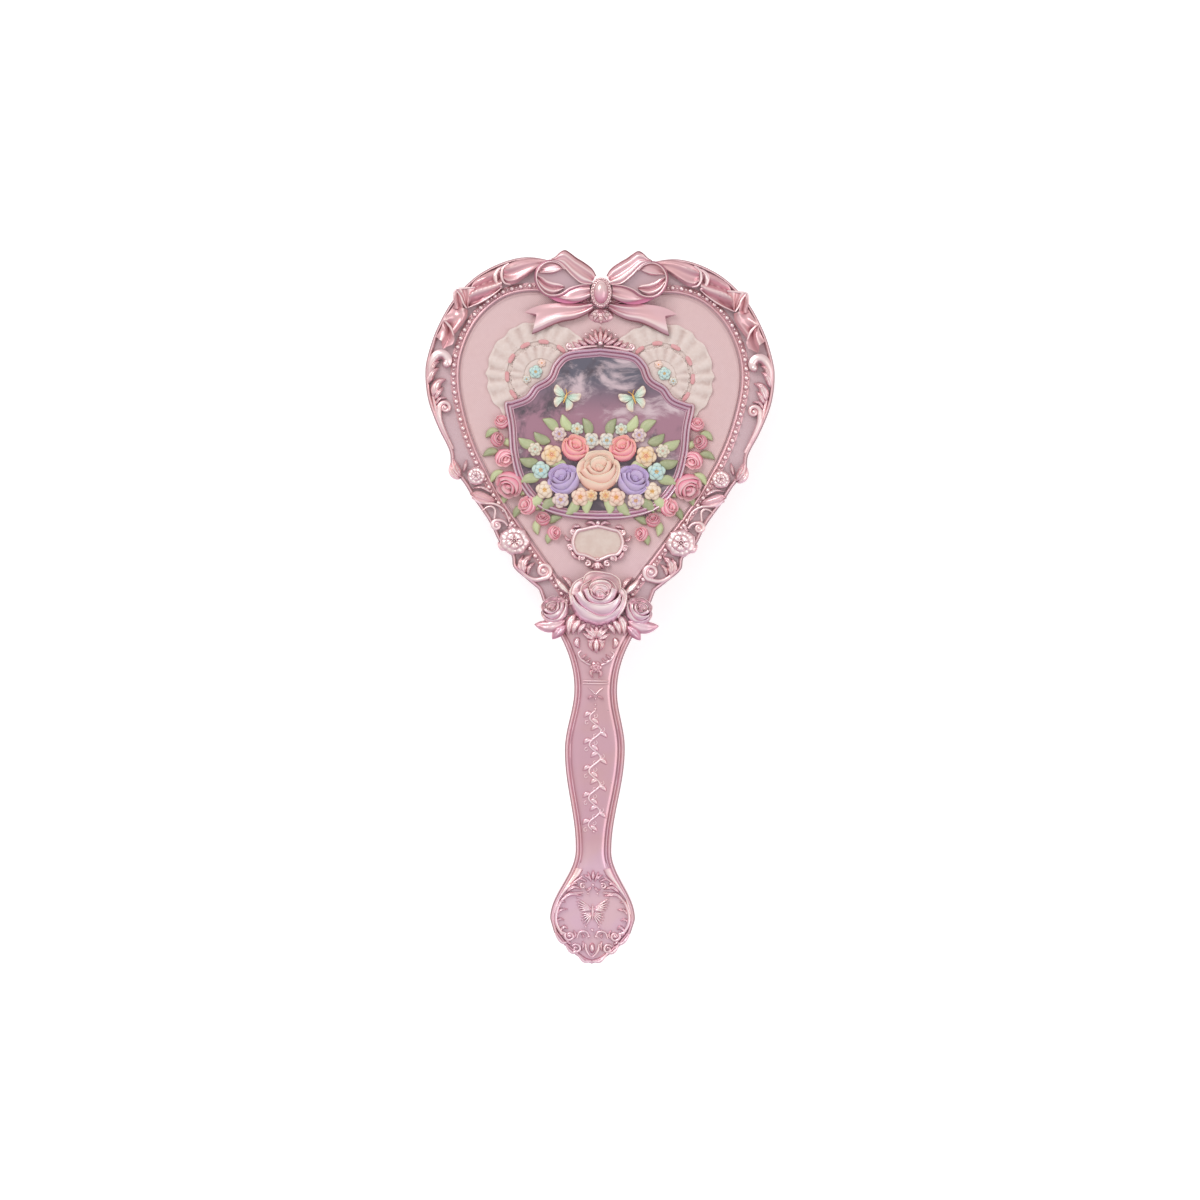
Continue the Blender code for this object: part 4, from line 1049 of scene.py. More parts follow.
def handle_top(trim, rows=150, columns=91):
    """Upper face of the handle: inside the rim, a second fine ridge, a groove, then a broad soft ridge that
    falls to a slightly crowned middle, each ridge a bell curve of the distance from the outline."""
    y = np.linspace(-3.0, -88.0, rows)[:, None]
    width = handle_half_width(y)
    v = np.linspace(-1, 1, columns)[None]
    x = (width - 1.0) * v
    inside = width - np.abs(x)
    ridge = trim.ridge_height / MM
    level = HANDLE_FACE + 0.25 * (1 - v**2) + ridge * bell(inside, 1.75, 0.36)
    level = level - 0.4 * ridge * bell(inside, 2.5, 0.4) + 0.3 * ridge * bell(inside, 3.7, 1.1)
    level = level - 0.35 * np.clip((-81.0 - y) / 7.0, 0, 1)
    top = grid(x, y, level)
    # Painted highlight on the ridges, and painted shade in the groove and at the foot of the rim.
    tone = 0.36 + 0.5 * bell(inside, 1.6, 0.3) - 0.3 * bell(inside, 2.3, 0.3)
    tone = tone + 0.22 * bell(inside, 3.3, 0.6) - 0.36 * bell(inside, 1.05, 0.2)
    fade = np.clip((-78.0 - y) / 9.0, 0, 1)[..., None] + 0 * x[..., None]
    near = np.clip((y + 34.0) / 18.0, 0, 1)[..., None]
    paint = (np.asarray(GRIP) * (1 - near) + np.asarray(NECK) * near) * (1 - fade) + np.asarray(GROUND) * fade
    return sheets(top[None], BACK_FOOT, tone[None], paint[None])


def pommel_shoulder():
    """Smooth swell on the pommel's right flank, between the rim and the scrolled border."""
    y = np.linspace(-87.6, -105.0, 24)
    outer = np.stack([handle_half_width(y) - 1.0, y], 1)
    inner = [(3.4, -88.4), (4.6, -90.6), (7.6, -93.6), (10.6, -97.6), (12.4, -103.6)]
    made = crowned(patch(outer[::4], inner), BACK_FOOT, (HANDLE_FACE, RIM_TOP - 0.9, RIM_TOP - 1.1), 0.8)
    # The swell is painted paler as painted highlight.
    return made._replace(paint=np.broadcast_to(SHOULDER_HIGHLIGHT, made.paint.shape))


def pommel_ground():
    """Flat ground of the pommel, inside its rim."""
    outline = inset(body_outline(), 1.0)
    loop = outline[outline[:, 1] < -86.0]
    return plate([loop], BACK_FOOT, RIM_TOP - 1.35, 0.36, GROUND)


def field_level(trim):
    """Level of the frame's ground, a little below the panel."""
    return PANEL - trim.field_drop / MM


def make_shells(trim):
    """The rimmed back with its handle and pommel, the frame's ground, and the front: a quarter round carried
    along the outline, and a flat face with the opening for the cushion."""
    outline = body_outline()
    shoulder = pommel_shoulder()
    back = [rim(outline, trim), handle_top(trim), pommel_ground(), shoulder, *mirrored([shoulder])]
    dress("back_shell", back)
    ground = plate([inset(outline, 1.0)], BACK_FOOT, field_level(trim))
    make_piece("frame_field", [ground], "field")
    rise = np.sin(np.linspace(0, np.pi / 2, 7))
    rounded = zip(FRONT_RADIUS * (1 - rise[::-1]), FRONT_FACE + FRONT_RADIUS * (1 - rise))
    section = [(0, PARTING), *rounded, (FRONT_EDGE, FRONT_FACE), (FRONT_EDGE, PARTING)]
    face = plate([inset(outline, FRONT_EDGE), heart(OPENING)], FRONT_FACE, PARTING, FRONT_TONE)
    edge = moulding(outline, section, np.full(len(section), FRONT_TONE))
    dress("front_shell", [edge, face])


def crowned_heart(loop, share, level, foot):
    """A heart with a shaped face: rings of its loop scaled by shares, each at its level, and a flat back."""
    rings = HEART_CENTRE + share[:, None, None] * (loop - HEART_CENTRE)
    pole = np.broadcast_to([*HEART_CENTRE, foot], (1, len(loop), 3))
    points = np.concatenate([at_sheet(rings, level[:, None])[0], at_level(loop, foot)[None], pole])
    return solid(points, grid_quads(len(points), len(loop), close_columns=True), tone=1.0)


def make_cushion():
    """A rubber dome: its level is a high power curve of the share of the opening."""
    foot = foot_of("air_cushion") + CUSHION_DEPTH
    crown = SKIN + 0.2
    share = np.concatenate([np.linspace(0, 0.8, 9), np.linspace(0.83, 1.0, 16)])
    level = crown + (FRONT_FACE + 1.6 - crown) * (1 - np.sqrt(np.clip(1 - share**16, 0, 1)))
    dome = crowned_heart(inset(heart(OPENING), 0.35), share, level, foot)
    eyelet = tube(at_level(circle((0, 14), 1.5, 24), crown), 0.35, closed=True, sides=8, tone=1.0)
    cushion = dress("air_cushion", [dome, eyelet], "rubber")
    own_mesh(cushion)


def pin_places(pitch):
    """Places on one staggered grid that lie inside the heart's pin field, by counting crossed edges."""
    steps = np.arange(-18, 18)
    row, column = np.meshgrid(steps, steps, indexing="ij")
    x = (column + 0.5 * (row % 2)) * pitch
    y = HEART_CENTRE[1] + row * pitch * math.sqrt(3) / 2
    places = grid(x, y).reshape(-1, 2)
    loop = inset(heart(PIN_FIELD), 1.1)
    x, y = places[:, :1], places[:, 1:]
    x0, y0 = loop.T
    x1, y1 = np.roll(loop, -1, 0).T
    spans = (y0 <= y) != (y1 <= y)
    cross = x0 + (y - y0) * (x1 - x0) / np.where(y1 == y0, 1e-9, y1 - y0)
    inside = np.sum(spans & (x < cross), axis=1) % 2 == 1
    return places[inside & (places[:, 1] > PINS_FROM)]


def spun(places, profile, sides, tone):
    """The same turned profile of (radius, level) at every place."""
    radius, level = np.asarray(profile, float).T
    plan = places[:, None, None] + radius[None, :, None, None] * circle((0, 0), 1.0, sides)[None, None]
    points = grid(plan[..., 0], plan[..., 1], level[None, :, None])
    quads = repeated(grid_quads(len(profile), sides, close_columns=True), len(places), len(profile) * sides)
    tone = np.broadcast_to(np.asarray(tone)[None, :, None], plan.shape[:3])
    return solid(points, quads, tone=tone)


def make_pins(pins):
    """Ball-tipped pins with a rubber collar at each root, in the three sheets that slide together."""
    ball, shaft, collar = pins.ball / MM, pins.shaft / MM, pins.collar / MM
    root = SKIN + 0.8
    profile = [
        (0, root), (1.15 * shaft, root), (shaft, 0.55 * root), (0.8 * shaft, 2.1 * ball),
        (0.85 * ball, 1.6 * ball), (ball, ball), (0.7 * ball, 0.3 * ball), (0, 0),
    ]
    shade = [0, 0, 0.2, 0.5, 0.8, 1, 1, 1]
    cuff = [(0, root), (collar, root), (0.8 * collar, SKIN - 0.25), (1.3 * shaft, SKIN - 0.7),
            (0, SKIN - 0.7)]
    places = pin_places(pins.pitch / MM)
    upper = places[:, 1] > PINS_SPLIT
    left = places[:, 0] < 0
    sheets_of = {
        "pins_left": places[upper & left],
        "pins_right": places[upper & ~left],
        "pins_lower": places[~upper],
    }
    for node, own in sheets_of.items():
        dress(node, [spun(own, profile, 6, shade)], "nylon", PAD)
        make_piece(node + "_collars", [spun(own, cuff, 6, np.ones(5))], "rubber", PAD)


# Panel and beads


def make_panel():
    """Heart panel, a little crowned, with a raised line near its edge that is a bell curve of the share."""
    loop = inset(heart(), 0.3)
    share = np.concatenate([np.linspace(0, 0.96, 24), [0.972, 0.978, 0.983, 0.987, 0.991, 0.995, 1.0]])
    lip = 0.45 * bell(share, 0.99, 0.006)
    level = PANEL - 0.08 + 0.1 * (1 - share**2) + lip
    dress("inlay_panel", [crowned_heart(loop, share, level, foot_of("inlay_panel"))], "panel")


def make_beads(trim):
    """Round beads with a small one between each two, on a strip outside a plain rib."""
    field = field_level(trim)
    loop = heart(count=300)
    radius, pitch = trim.bead_radius / MM, trim.bead_pitch / MM
    middle = inset(loop, -1.8)
    closed = np.vstack([middle, middle[:1]])
    count = int(round(np.sum(np.linalg.norm(np.diff(closed, axis=0), axis=1)) / pitch))
    both = evenly(closed, 2 * count, True)
    both = both[np.hypot(*(both - ROSE_CENTRE).T) > ROSE_CLEAR]
    level = field + 0.7
    strip = [(-0.2, field - 1), (-0.2, field + 0.4), (-1.8, field + 0.4),
             (-2.8, field + 0.15), (-2.9, field - 1)]
    # The strip's low tone paints it in shade.
    made = [
        moulding(loop, strip, np.full(len(strip), 0.25)),
        balls(at_level(both[::2], level), radius, 6, 10),
        balls(at_level(both[1::2], level - 0.15), 0.5 * radius, 5, 7),
        tube(at_level(inset(loop, -0.5), field + 0.6), 0.45, 1.0, 10, True, tone=0.55),
    ]
    dress("bead_border", made)


# Bow, right side

BOW_BAND_OUT = [
    (1.9, 110.6), (3.4, 112.9), (6.0, 114.8), (8.6, 116.3), (10.6, 117.8), (12.3, 118.8), (13.8, 118.1),
    (15.3, 116.7), (16.8, 115.9),
]
BOW_BAND_IN = [
    (3.4, 107.8), (6.7, 108.3), (9.7, 110.6), (12.1, 113.1), (13.9, 114.8), (15.2, 115.4), (16.6, 115.5),
]
BOW_MOUTH = [
    (4.0, 107.5), (7.1, 107.2), (10.4, 106.0), (13.0, 104.3), (15.5, 103.6), (18.1, 103.9), (20.3, 105.5),
    (21.8, 108.2), (22.0, 111.0), (20.9, 113.5), (18.8, 115.1), (16.4, 115.5), (13.9, 114.7), (12.0, 112.9),
]
BOW_MIDDLE = np.array([16.6, 109.6])
BAND_PLEATS = (
    [(0, 0.0), (0.2, 0.95), (0.45, 0.1), (0.75, 1.15), (1, 0.2)],
    [(0, 0.2), (0.25, 1.0), (0.5, 0.6), (0.75, 1.0), (1, 0.2)],
)
# Inside and under the loop: outer edge, inner edge, drop below the bow's top, pleats at its two ends
BOW_FOLDS = [
    ([(12.9, 113.4), (14.4, 114.8), (16.4, 115.5), (18.4, 115.0), (20.2, 113.6), (21.4, 111.8)],
     [(12.8, 112.9), (14.4, 112.0), (16.2, 111.3), (18.2, 111.1), (20.0, 111.3), (21.2, 111.4)], 3.5,
     ([(0, 0.1), (0.4, 0.5), (0.75, 0.8), (0.9, 1.0), (1, 0.4)],
      [(0, 0.2), (0.4, 0.0), (0.7, 0.5), (0.88, 1.0), (1, 0.4)])),
    ([(12.2, 107.1), (13.8, 107.8), (16.0, 108.2), (18.2, 108.9), (19.8, 110.0), (21.5, 110.6)],
     [(12.4, 106.2), (14.0, 104.9), (16.2, 104.2), (18.6, 104.8), (20.6, 106.5), (21.8, 109.2)], 3.5,
     ([(0, 0.9), (0.15, 1.1), (0.35, 0.1), (0.7, 0.9), (1, 0.3)],
      [(0, 0.8), (0.12, 1.0), (0.35, 0.0), (0.7, 1.1), (1, 0.3)])),
    ([(3.8, 107.2), (7.1, 106.9), (10.1, 105.8), (12.6, 104.2), (15.4, 103.4)],
     [(3.8, 103.5), (6.3, 102.4), (8.8, 102.0), (11.3, 102.3), (14.4, 103.1)], 2.6,
     ([(0, 0.2), (0.25, 0.8), (0.5, 0.1), (0.8, 0.9), (1, 0.2)],
      [(0, 0.2), (0.3, 0.3), (0.6, 1.0), (0.8, 0.8), (1, 0.2)])),
]
BOW_FLOOR = [
    (3.6, 107.0), (8.4, 106.4), (12.0, 105.4), (16.0, 104.6), (19.6, 106.4), (21.4, 109.6), (20.6, 113.4),
]
# A crescent under the bow's lower band, painted magenta as shade.
BOW_SHADE_BAND = [(4.8, 103.0), (8.0, 101.7), (11.3, 101.4), (14.7, 102.0), (17.6, 103.4)]
BOW_SHADE_BAND_TOP = [(6.0, 103.0), (9.0, 102.6), (11.6, 102.9), (14.6, 103.4), (17.0, 103.9)]
TAIL_TOP = [(3.0, 101.8), (8.0, 101.4), (14.0, 101.5), (19.0, 101.0), (22.4, 100.0), (25.6, 98.3)]
TAIL_LOW = [(2.6, 99.8), (5.4, 97.8), (9.0, 96.3), (13.4, 95.4), (17.3, 93.8), (20.2, 92.3), (23.0, 91.1)]
TAIL_END = [(25.6, 98.3), (23.6, 98.0), (21.5, 97.7), (21.9, 95.5), (22.4, 93.3), (23.0, 91.1)]
TAIL_PLEATS = (
    [(0, 0.2), (0.25, 1.1), (0.5, 0.2), (0.75, 1.0), (1, 0.1)],
    [(0, 0.5), (0.3, 0.4), (0.55, 0.7), (0.85, 1.0), (1, 0.1)],
)
KNOT = (0.0, 105.1)


def make_bow(trim):
    """Two folded loops with open mouths, two swallow tails, and the jewel at the knot."""
    foot = field_level(trim)
    top = top_of("bow_loop_right")
    mouth = spline(BOW_MOUTH, 110)
    lip = BOW_MIDDLE + 0.945 * (mouth - BOW_MIDDLE)
    outer = spline(BOW_BAND_OUT, 60)
    # The mouth's rim is a dark tube of painted shade with a thin painted highlight just inside it, a dark
    # tube paints edge shade along the outer edge, and a magenta sheet under the lower band paints shade
    # there.
    loop = [
        pleated(patch(BOW_BAND_OUT, BOW_BAND_IN), foot, top - 2.2, *BAND_PLEATS),
        tube(at_level(mouth, top - 2.3), tapered(110, 0.3, 0.42, 0.35), tone=0.12, paint=SHADED),
        tube(at_level(lip, top - 2.2), tapered(110, 0.2, 0.3, 0.25), tone=0.85),
        scroll(BOW_BAND_IN, (0.25, 0.32, 0.25), top - 1.9),
        tube(at_level(outer, top - 2.5), tapered(60, 0.25, 0.45, 0.25), tone=0.0, paint=EDGE_SHADE),
        sheets(at_sheet(patch(BOW_BAND_IN, BOW_FLOOR), top - 4.4), foot, 0.36, RECESS),
        sheets(at_sheet(patch(BOW_SHADE_BAND_TOP, BOW_SHADE_BAND), top - 3.4), foot, 0.5, MAGENTA_SHADE),
    ]
    loop += [pleated(patch(*edges), foot, top - drop, *pleats) for *edges, drop, pleats in BOW_FOLDS]
    dress_pair("bow_loop", loop)
    tail_top = top_of("bow_tail_right")
    tail = patch(TAIL_TOP, TAIL_LOW, TAIL_END)
    low_edge = at_level(spline(TAIL_LOW, 60), tail_top - 1.9)
    # A dark tube along the tail's lower edge, painted as edge shade.
    hem = tube(low_edge, tapered(60, 0.2, 0.35, 0.2), tone=0.0, paint=EDGE_SHADE)
    dress_pair("bow_tail", [pleated(tail, foot, tail_top - 1.8, *TAIL_PLEATS), hem])
    edge = top_of("jewel_setting")
    bezel = circle(KNOT, (3.1, 4.55), 26)
    cup = [(0, foot), (1.0, foot), (1.0, edge - 0.9), (0.94, edge - 0.3), (0.82, edge), (0.0, edge)]
    dress("jewel_setting", [turned(KNOT, cup, (3.6, 5.05)), balls(at_level(bezel, edge), 0.45, 6, 10)])
    jewel = domed(KNOT, edge - 0.3, top_of("bow_jewel"), (2.6, 4.0), 14, 48, 2.2)
    # The jewel is painted paler towards the top as painted highlight, and magenta lower down as painted
    # shade.
    share = np.clip((jewel.points[:, 1:2] - KNOT[1] + 3.6) / 5.0, 0, 1)
    colours = share * np.array(WHITE) + (1 - share) * np.array(MAGENTA_SHADE)
    dress("bow_jewel", [jewel._replace(paint=colours)], "pearl")
    pearls = [(-2.1, 98.0, PANEL + 1.6), (2.1, 98.0, PANEL + 1.6), (0, 96.6, PANEL + 1.6)]
    dress("pearl_drop", [balls(pearls, 0.85, 12, 20)], "pearl")
    half = [
        leaf([(0.6, 99.6), (2.6, 98.4), (4.0, 97.6)], 0.9, EMBLEM_FOOT, PANEL + 0.4, PANEL + 1.4),
        leaf([(0.4, 98.8), (1.8, 97.0), (2.2, 95.6)], 0.9, EMBLEM_FOOT, PANEL + 0.4, PANEL + 1.4),
    ]
    middle = leaf([(0, 99.0), (0, 96.6), (0, 94.8)], 1.0, EMBLEM_FOOT, PANEL + 0.4, PANEL + 1.3)
    bed = domed((0, 97.6), EMBLEM_FOOT, PANEL + 0.8, (4.5, 2.5), 8, 40, tone=0.35)
    make_piece("pearl_drop_leaves", [*half, *mirrored(half), middle, bed], "plated")


# Ribbon swag, right side: outer and inner edge of each length, and its pleats at the start and at the end

SWAG = [
    ([(17.0, 115.6), (20.5, 116.2), (24.0, 116.4), (27.5, 115.8), (30.4, 114.7), (32.6, 113.2)],
     [(18.4, 114.2), (21.2, 113.0), (23.6, 111.4), (26.2, 109.4), (28.8, 107.8),
      (31.2, 107.5), (32.8, 108.8)],
     [(0, 0.4), (0.25, 1.0), (0.5, 1.2), (0.8, 0.8), (1, 0.1)],
     [(0, 1.0), (0.22, 2.8), (0.52, 1.1), (0.85, 2.6), (1, 1.0)]),
    ([(34.2, 113.0), (37.4, 111.7), (40.0, 110.3), (42.0, 108.9), (43.2, 107.4), (43.8, 105.6)],
     [(33.2, 106.8), (35.2, 105.0), (38.0, 103.0), (40.8, 101.4), (43.0, 100.4), (44.4, 99.7)],
     [(0, 0.6), (0.2, 1.8), (0.5, 0.2), (0.8, 2.5), (0.9, 2.3), (0.96, 0.9), (1, 0.6)],
     [(0, 1.3), (0.1, 1.9), (0.22, 0.8), (0.35, 2.9), (0.45, 2.5), (0.85, 0.0), (1, 0.8)]),
    ([(42.4, 106.0), (43.2, 103.6), (44.0, 101.2), (44.7, 99.3)],
     [(48.6, 105.6), (47.0, 103.4), (46.1, 101.2), (45.2, 99.4)],
     [(0, 1.9), (0.3, 2.6), (0.55, 1.7), (0.8, 2.8), (1, 2.3)],
     [(0, 1.1), (0.3, 1.6), (0.5, 1.1), (0.7, 1.5), (1, 1.1)]),
    ([(48.6, 105.2), (49.3, 103.8), (49.5, 102.2), (49.2, 100.6), (49.6, 99.2)],
     [(47.6, 104.4), (47.0, 102.8), (46.6, 101.2), (46.2, 99.8), (45.8, 98.8)],
     [(0, 1.4), (0.35, 2.3), (0.6, 1.2), (1, 1.9)], [(0, 0.8), (0.35, 1.5), (0.6, 0.7), (1, 1.4)]),
    ([(49.4, 100.4), (50.4, 98.6), (51.6, 97.0), (52.7, 95.6)],
     [(44.6, 98.8), (44.8, 96.6), (46.0, 94.4), (47.6, 92.2), (48.8, 90.6)],
     [(0, 0.4), (0.35, 0.3), (0.7, 2.7), (0.85, 1.6), (1, 0.6)],
     [(0, 1.8), (0.1, 2.8), (0.45, 0.1), (0.8, 2.2), (1, 0.6)]),
    ([(52.7, 95.4), (53.2, 93.2), (54.1, 91.3), (55.2, 89.6)],
     [(50.2, 92.6), (49.2, 90.4), (48.9, 88.8), (49.5, 87.2)],
     [(0, 2.1), (0.3, 0.8), (0.6, 0.1), (1, 1.8)], [(0, 0.7), (0.3, 2.1), (0.65, 0.3), (1, 1.4)]),
]
SWAG_END = [(55.2, 89.6), (54.2, 88.9), (53.2, 88.2), (53.2, 86.9), (52.9, 85.6), (51.2, 86.4), (49.5, 87.2)]
# Rolled edges: path, radii, rise
SWAG_CURLS = [
    ([(31.0, 114.4), (32.8, 113.1), (33.4, 111.2), (33.2, 109.2), (32.2, 107.8), (30.4, 107.4)],
     (0.35, 0.55, 0.3), 2.2),
    ([(32.6, 113.4), (34.6, 112.2), (35.5, 110.4), (35.2, 108.4), (34.0, 107.0), (33.2, 106.7)],
     (0.4, 0.95, 0.4), 1.3),
    ([(33.2, 106.6), (35.2, 104.8), (38.0, 102.8), (40.8, 101.2), (43.0, 100.2), (44.8, 99.4)],
     (0.2, 0.35, 0.2), 1.0),
    ([(42.2, 106.2), (45.6, 105.9), (48.6, 105.5), (49.2, 103.9), (49.4, 101.8)], (0.3, 0.42, 0.3), 2.3),
    ([(48.6, 105.4), (47.0, 103.2), (46.1, 101.0), (45.0, 99.3)], (0.3, 0.42, 0.3), 2.1),
    ([(52.7, 95.3), (51.2, 93.9), (50.0, 92.3), (49.2, 90.0)], (0.3, 0.5, 0.3), 1.9),
]


def make_swags(trim):
    """Overlapping lengths of pleated ribbon, with a rolled edge where one turns into the next."""
    foot = field_level(trim)
    base = top_of("ribbon_swag_right") - 3.4
    made = []
    for outer, inner, starts, ends in SWAG:
        flat = patch(outer, inner, SWAG_END if outer is SWAG[-1][0] else None)
        made.append(pleated(flat, foot, base, starts, ends, MUTED))
    made += [scroll(curl, radii, base + rise, 40, 1.1) for curl, radii, rise in SWAG_CURLS]
    dress_pair("ribbon_swag", made)


# Scrolls and flowers of the frame, right side

SIDE_HOOK = [(57.2, 76.4), (56.8, 80.4), (54.9, 83.5), (52.6, 83.9), (51.1, 82.2), (51.5, 80.6)]
# Leaves by the hook: spine, half-width, drop below the top
SIDE_LEAVES = [
    ([(57.4, 74.0), (56.2, 77.6), (54.0, 79.6)], 1.2, 0.3),
    ([(56.8, 77.0), (55.6, 80.4), (53.6, 81.6)], 0.9, 0.0),
    ([(56.0, 69.6), (54.4, 74.2), (51.6, 75.6)], 1.6, 0.2),
    ([(55.4, 68.6), (53.8, 71.4), (52.4, 73.0)], 1.0, 0.6),
    ([(55.0, 66.8), (53.6, 69.0), (51.2, 69.2)], 0.7, 1.0),
]
SHELL_EDGES = (
    [(34.2, 35.2), (37.0, 37.2), (40.4, 38.3), (43.1, 37.6)],
    [(34.4, 34.6), (37.2, 33.6), (40.4, 34.2), (42.9, 36.8)],
)
# Bars under the shell: path, radii, rise
MID_BARS = [
    ([(42.4, 35.8), (38.6, 34.2), (34.8, 33.9), (32.0, 32.4), (30.5, 30.2), (29.8, 28.0)],
     (0.25, 0.48, 0.3), 1.3),
    ([(38.8, 31.6), (37.2, 32.8), (35.6, 33.0), (34.6, 32.0), (34.6, 30.6), (34.8, 29.0)],
     (0.25, 0.42, 0.35), 1.2),
]
# Creases of the fluted shell at its root and at the rim
SHELL_PLEATS = (
    [(0, 0.1), (0.16, 0.7), (0.3, 0.3), (0.5, 1.0), (0.66, 0.4), (0.84, 0.7), (1, 0.1)],
    [(0, 1.0), (0.16, 2.0), (0.3, 1.3), (0.5, 2.4), (0.66, 1.4), (0.84, 2.0), (1, 1.0)],
)


def make_scrolls(trim):
    """Acanthus hooks and volutes: fluted bars that wind into spirals, and lobed leaves against the rim."""
    foot = field_level(trim)
    low, high = foot + 0.5, foot + 3.4
    volute = np.vstack([[(50.6, 55.4), (52.4, 59.0), (53.7, 62.6)],
                        spiral((51.8, 66.0), -0.3, 1.3, 2.1, 0.45)])
    side = [
        scroll(SIDE_HOOK, (0.7, 1.5, 1.5), low + 1.0, flutes=5, depth=0.1),
        balls([(51.6, 80.6, low + 1.3)], 1.35, 10, 14),
        *[leaf(spine, width, foot, low, high - drop) for spine, width, drop in SIDE_LEAVES],
        scroll(volute, (0.5, 1.0, 0.5), low + 0.9, 80, peak=0.4),
        balls([(51.8, 66.0, low + 1.1)], 0.75, 8, 12),
        scroll([(49.0, 52.2), (51.9, 58.0), (54.4, 64.0), (56.0, 70.0)], (0.5, 0.9, 0.5), low + 0.4),
    ]
    dress_pair("side_scroll", side)
    curl = np.vstack([[(30.3, 26.6), (31.3, 27.8), (32.6, 28.4)],
                      spiral((33.9, 26.8), 1.9, -1.25, 1.75, 0.5)])
    mid = [
        # The fluted shell is painted paler as painted highlight, and the leaf over it with a soft painted
        # highlight.
        pleated(patch(*SHELL_EDGES), foot, foot + 1.0, *SHELL_PLEATS, PALE_HIGHLIGHT),
        leaf([(35.6, 37.6), (39.2, 39.4), (42.4, 39.0)], 0.6, foot, low + 0.6, high - 0.6, paint=SOFT_HIGHLIGHT),
        *[scroll(path, radii, low + rise) for path, radii, rise in MID_BARS],
        scroll(curl, (0.4, 0.72, 0.45), low + 1.4, 70),
        balls([(33.9, 26.7, low + 1.5), (28.8, 27.5, low + 1.3)], 0.9, 8, 12),
        leaf([(30.6, 25.8), (29.6, 26.2), (28.6, 28.9)], 0.8, foot, low + 0.3, high - 0.8),
    ]
    dress_pair("mid_scroll", mid)
    sweep = np.vstack([[(26.2, 12.4), (23.6, 9.8), (20.6, 8.7)], spiral((18.0, 11.7), -1.9, -1.4, 2.5, 0.8)])
    low_end = [
        scroll(sweep, (0.5, 0.9, 0.6), low + 0.8, 90, peak=0.4),
        balls([(18.0, 11.7, low + 1.0)], 1.2, 10, 16),
        leaf([(24.4, 10.6), (24.6, 14.4), (21.8, 17.4)], 1.7, foot, low, high, 4, 0.25),
        leaf([(25.2, 11.2), (26.0, 14.0), (24.9, 17.0)], 1.1, foot, low, high - 0.4, 3, 0.25),
        leaf([(23.4, 10.4), (22.8, 12.8), (20.9, 14.6)], 0.9, foot, low, high - 0.6),
    ]
    dress_pair("low_scroll", low_end)


def make_flowers(trim):
    """Bud, floret and daisy on each side of the frame."""
    foot = field_level(trim)
    bud = [
        leaf([(46.2, 42.7), (47.8, 45.4), (49.0, 49.2)], 1.5, foot, foot + 1.2, foot + 3.9, rib=0.3),
        leaf([(46.6, 42.0), (49.0, 44.2), (49.7, 47.6)], 1.2, foot, foot + 0.9, foot + 3.3),
        leaf([(45.4, 44.4), (44.8, 46.4), (44.3, 48.8)], 0.7, foot, foot + 0.4, foot + 2.6),
    ]
    dress_pair("bud", bud)
    middle = np.array([41.0, 43.2])
    floret = [
        *bloom(middle, (3.2, 3.1), 5, 2.0, foot, foot + 1.6, foot + 3.0, 0.4),
        *bloom(middle, (1.9, 1.8), 5, 1.1, foot, foot + 2.5, foot + 3.9, 1.0),
        *eye(middle, 0.55, foot, foot + 3.7),
    ]
    dress_pair("floret", floret)
    middle = np.array([27.9, 21.6])
    daisy = [
        *bloom(middle, (5.3, 4.8), 7, 2.5, foot, foot + 1.8, foot + 3.4, 0.5),
        *bloom(middle, (3.4, 3.1), 5, 1.7, foot, foot + 3.0, foot + 4.4, 0.9),
        *eye(middle, 0.85, foot, foot + 4.4),
        leaf([(30.4, 18.8), (32.0, 19.6), (33.5, 21.2)], 1.2, foot, foot + 1.0, foot + 2.8),
    ]
    dress_pair("daisy", daisy)


# Neck

# Leaves by the rose: spine, half-width and paint; the lower leaf is painted in shade and one small upper leaf
# with a painted highlight.
ROSE_LEAVES = [
    ([(10.4, -4.8), (15.8, -6.7), (20.9, -6.3)], 2.3, FROND),
    ([(10.2, -6.4), (12.6, -8.4), (14.8, -11.2)], 1.8, SHADED),
    ([(8.6, 3.6), (11.6, 6.4), (14.3, 9.6)], 1.15, PALE_HIGHLIGHT), ([(8.0, 5.4), (9.6, 8.2), (11.9, 10.0)], 0.9, WHITE),
]
# Fan under the rose, right side: spine, half-width
FAN = [
    ([(7.0, -2.6), (9.0, -5.4), (9.4, -9.8)], 1.5), ([(5.2, -4.4), (7.2, -6.6), (8.0, -9.6)], 1.3),
    ([(3.4, -5.6), (5.2, -7.4), (6.4, -9.6)], 1.1), ([(0.6, -10.8), (2.6, -10.2), (4.8, -8.8)], 0.9),
    ([(0.4, -10.6), (2.2, -8.8), (4.2, -7.0)], 0.95), ([(0.2, -10.6), (1.2, -8.4), (2.2, -6.2)], 0.9),
    ([(0.6, -11.0), (2.0, -11.8), (3.2, -11.0)], 0.7),
]


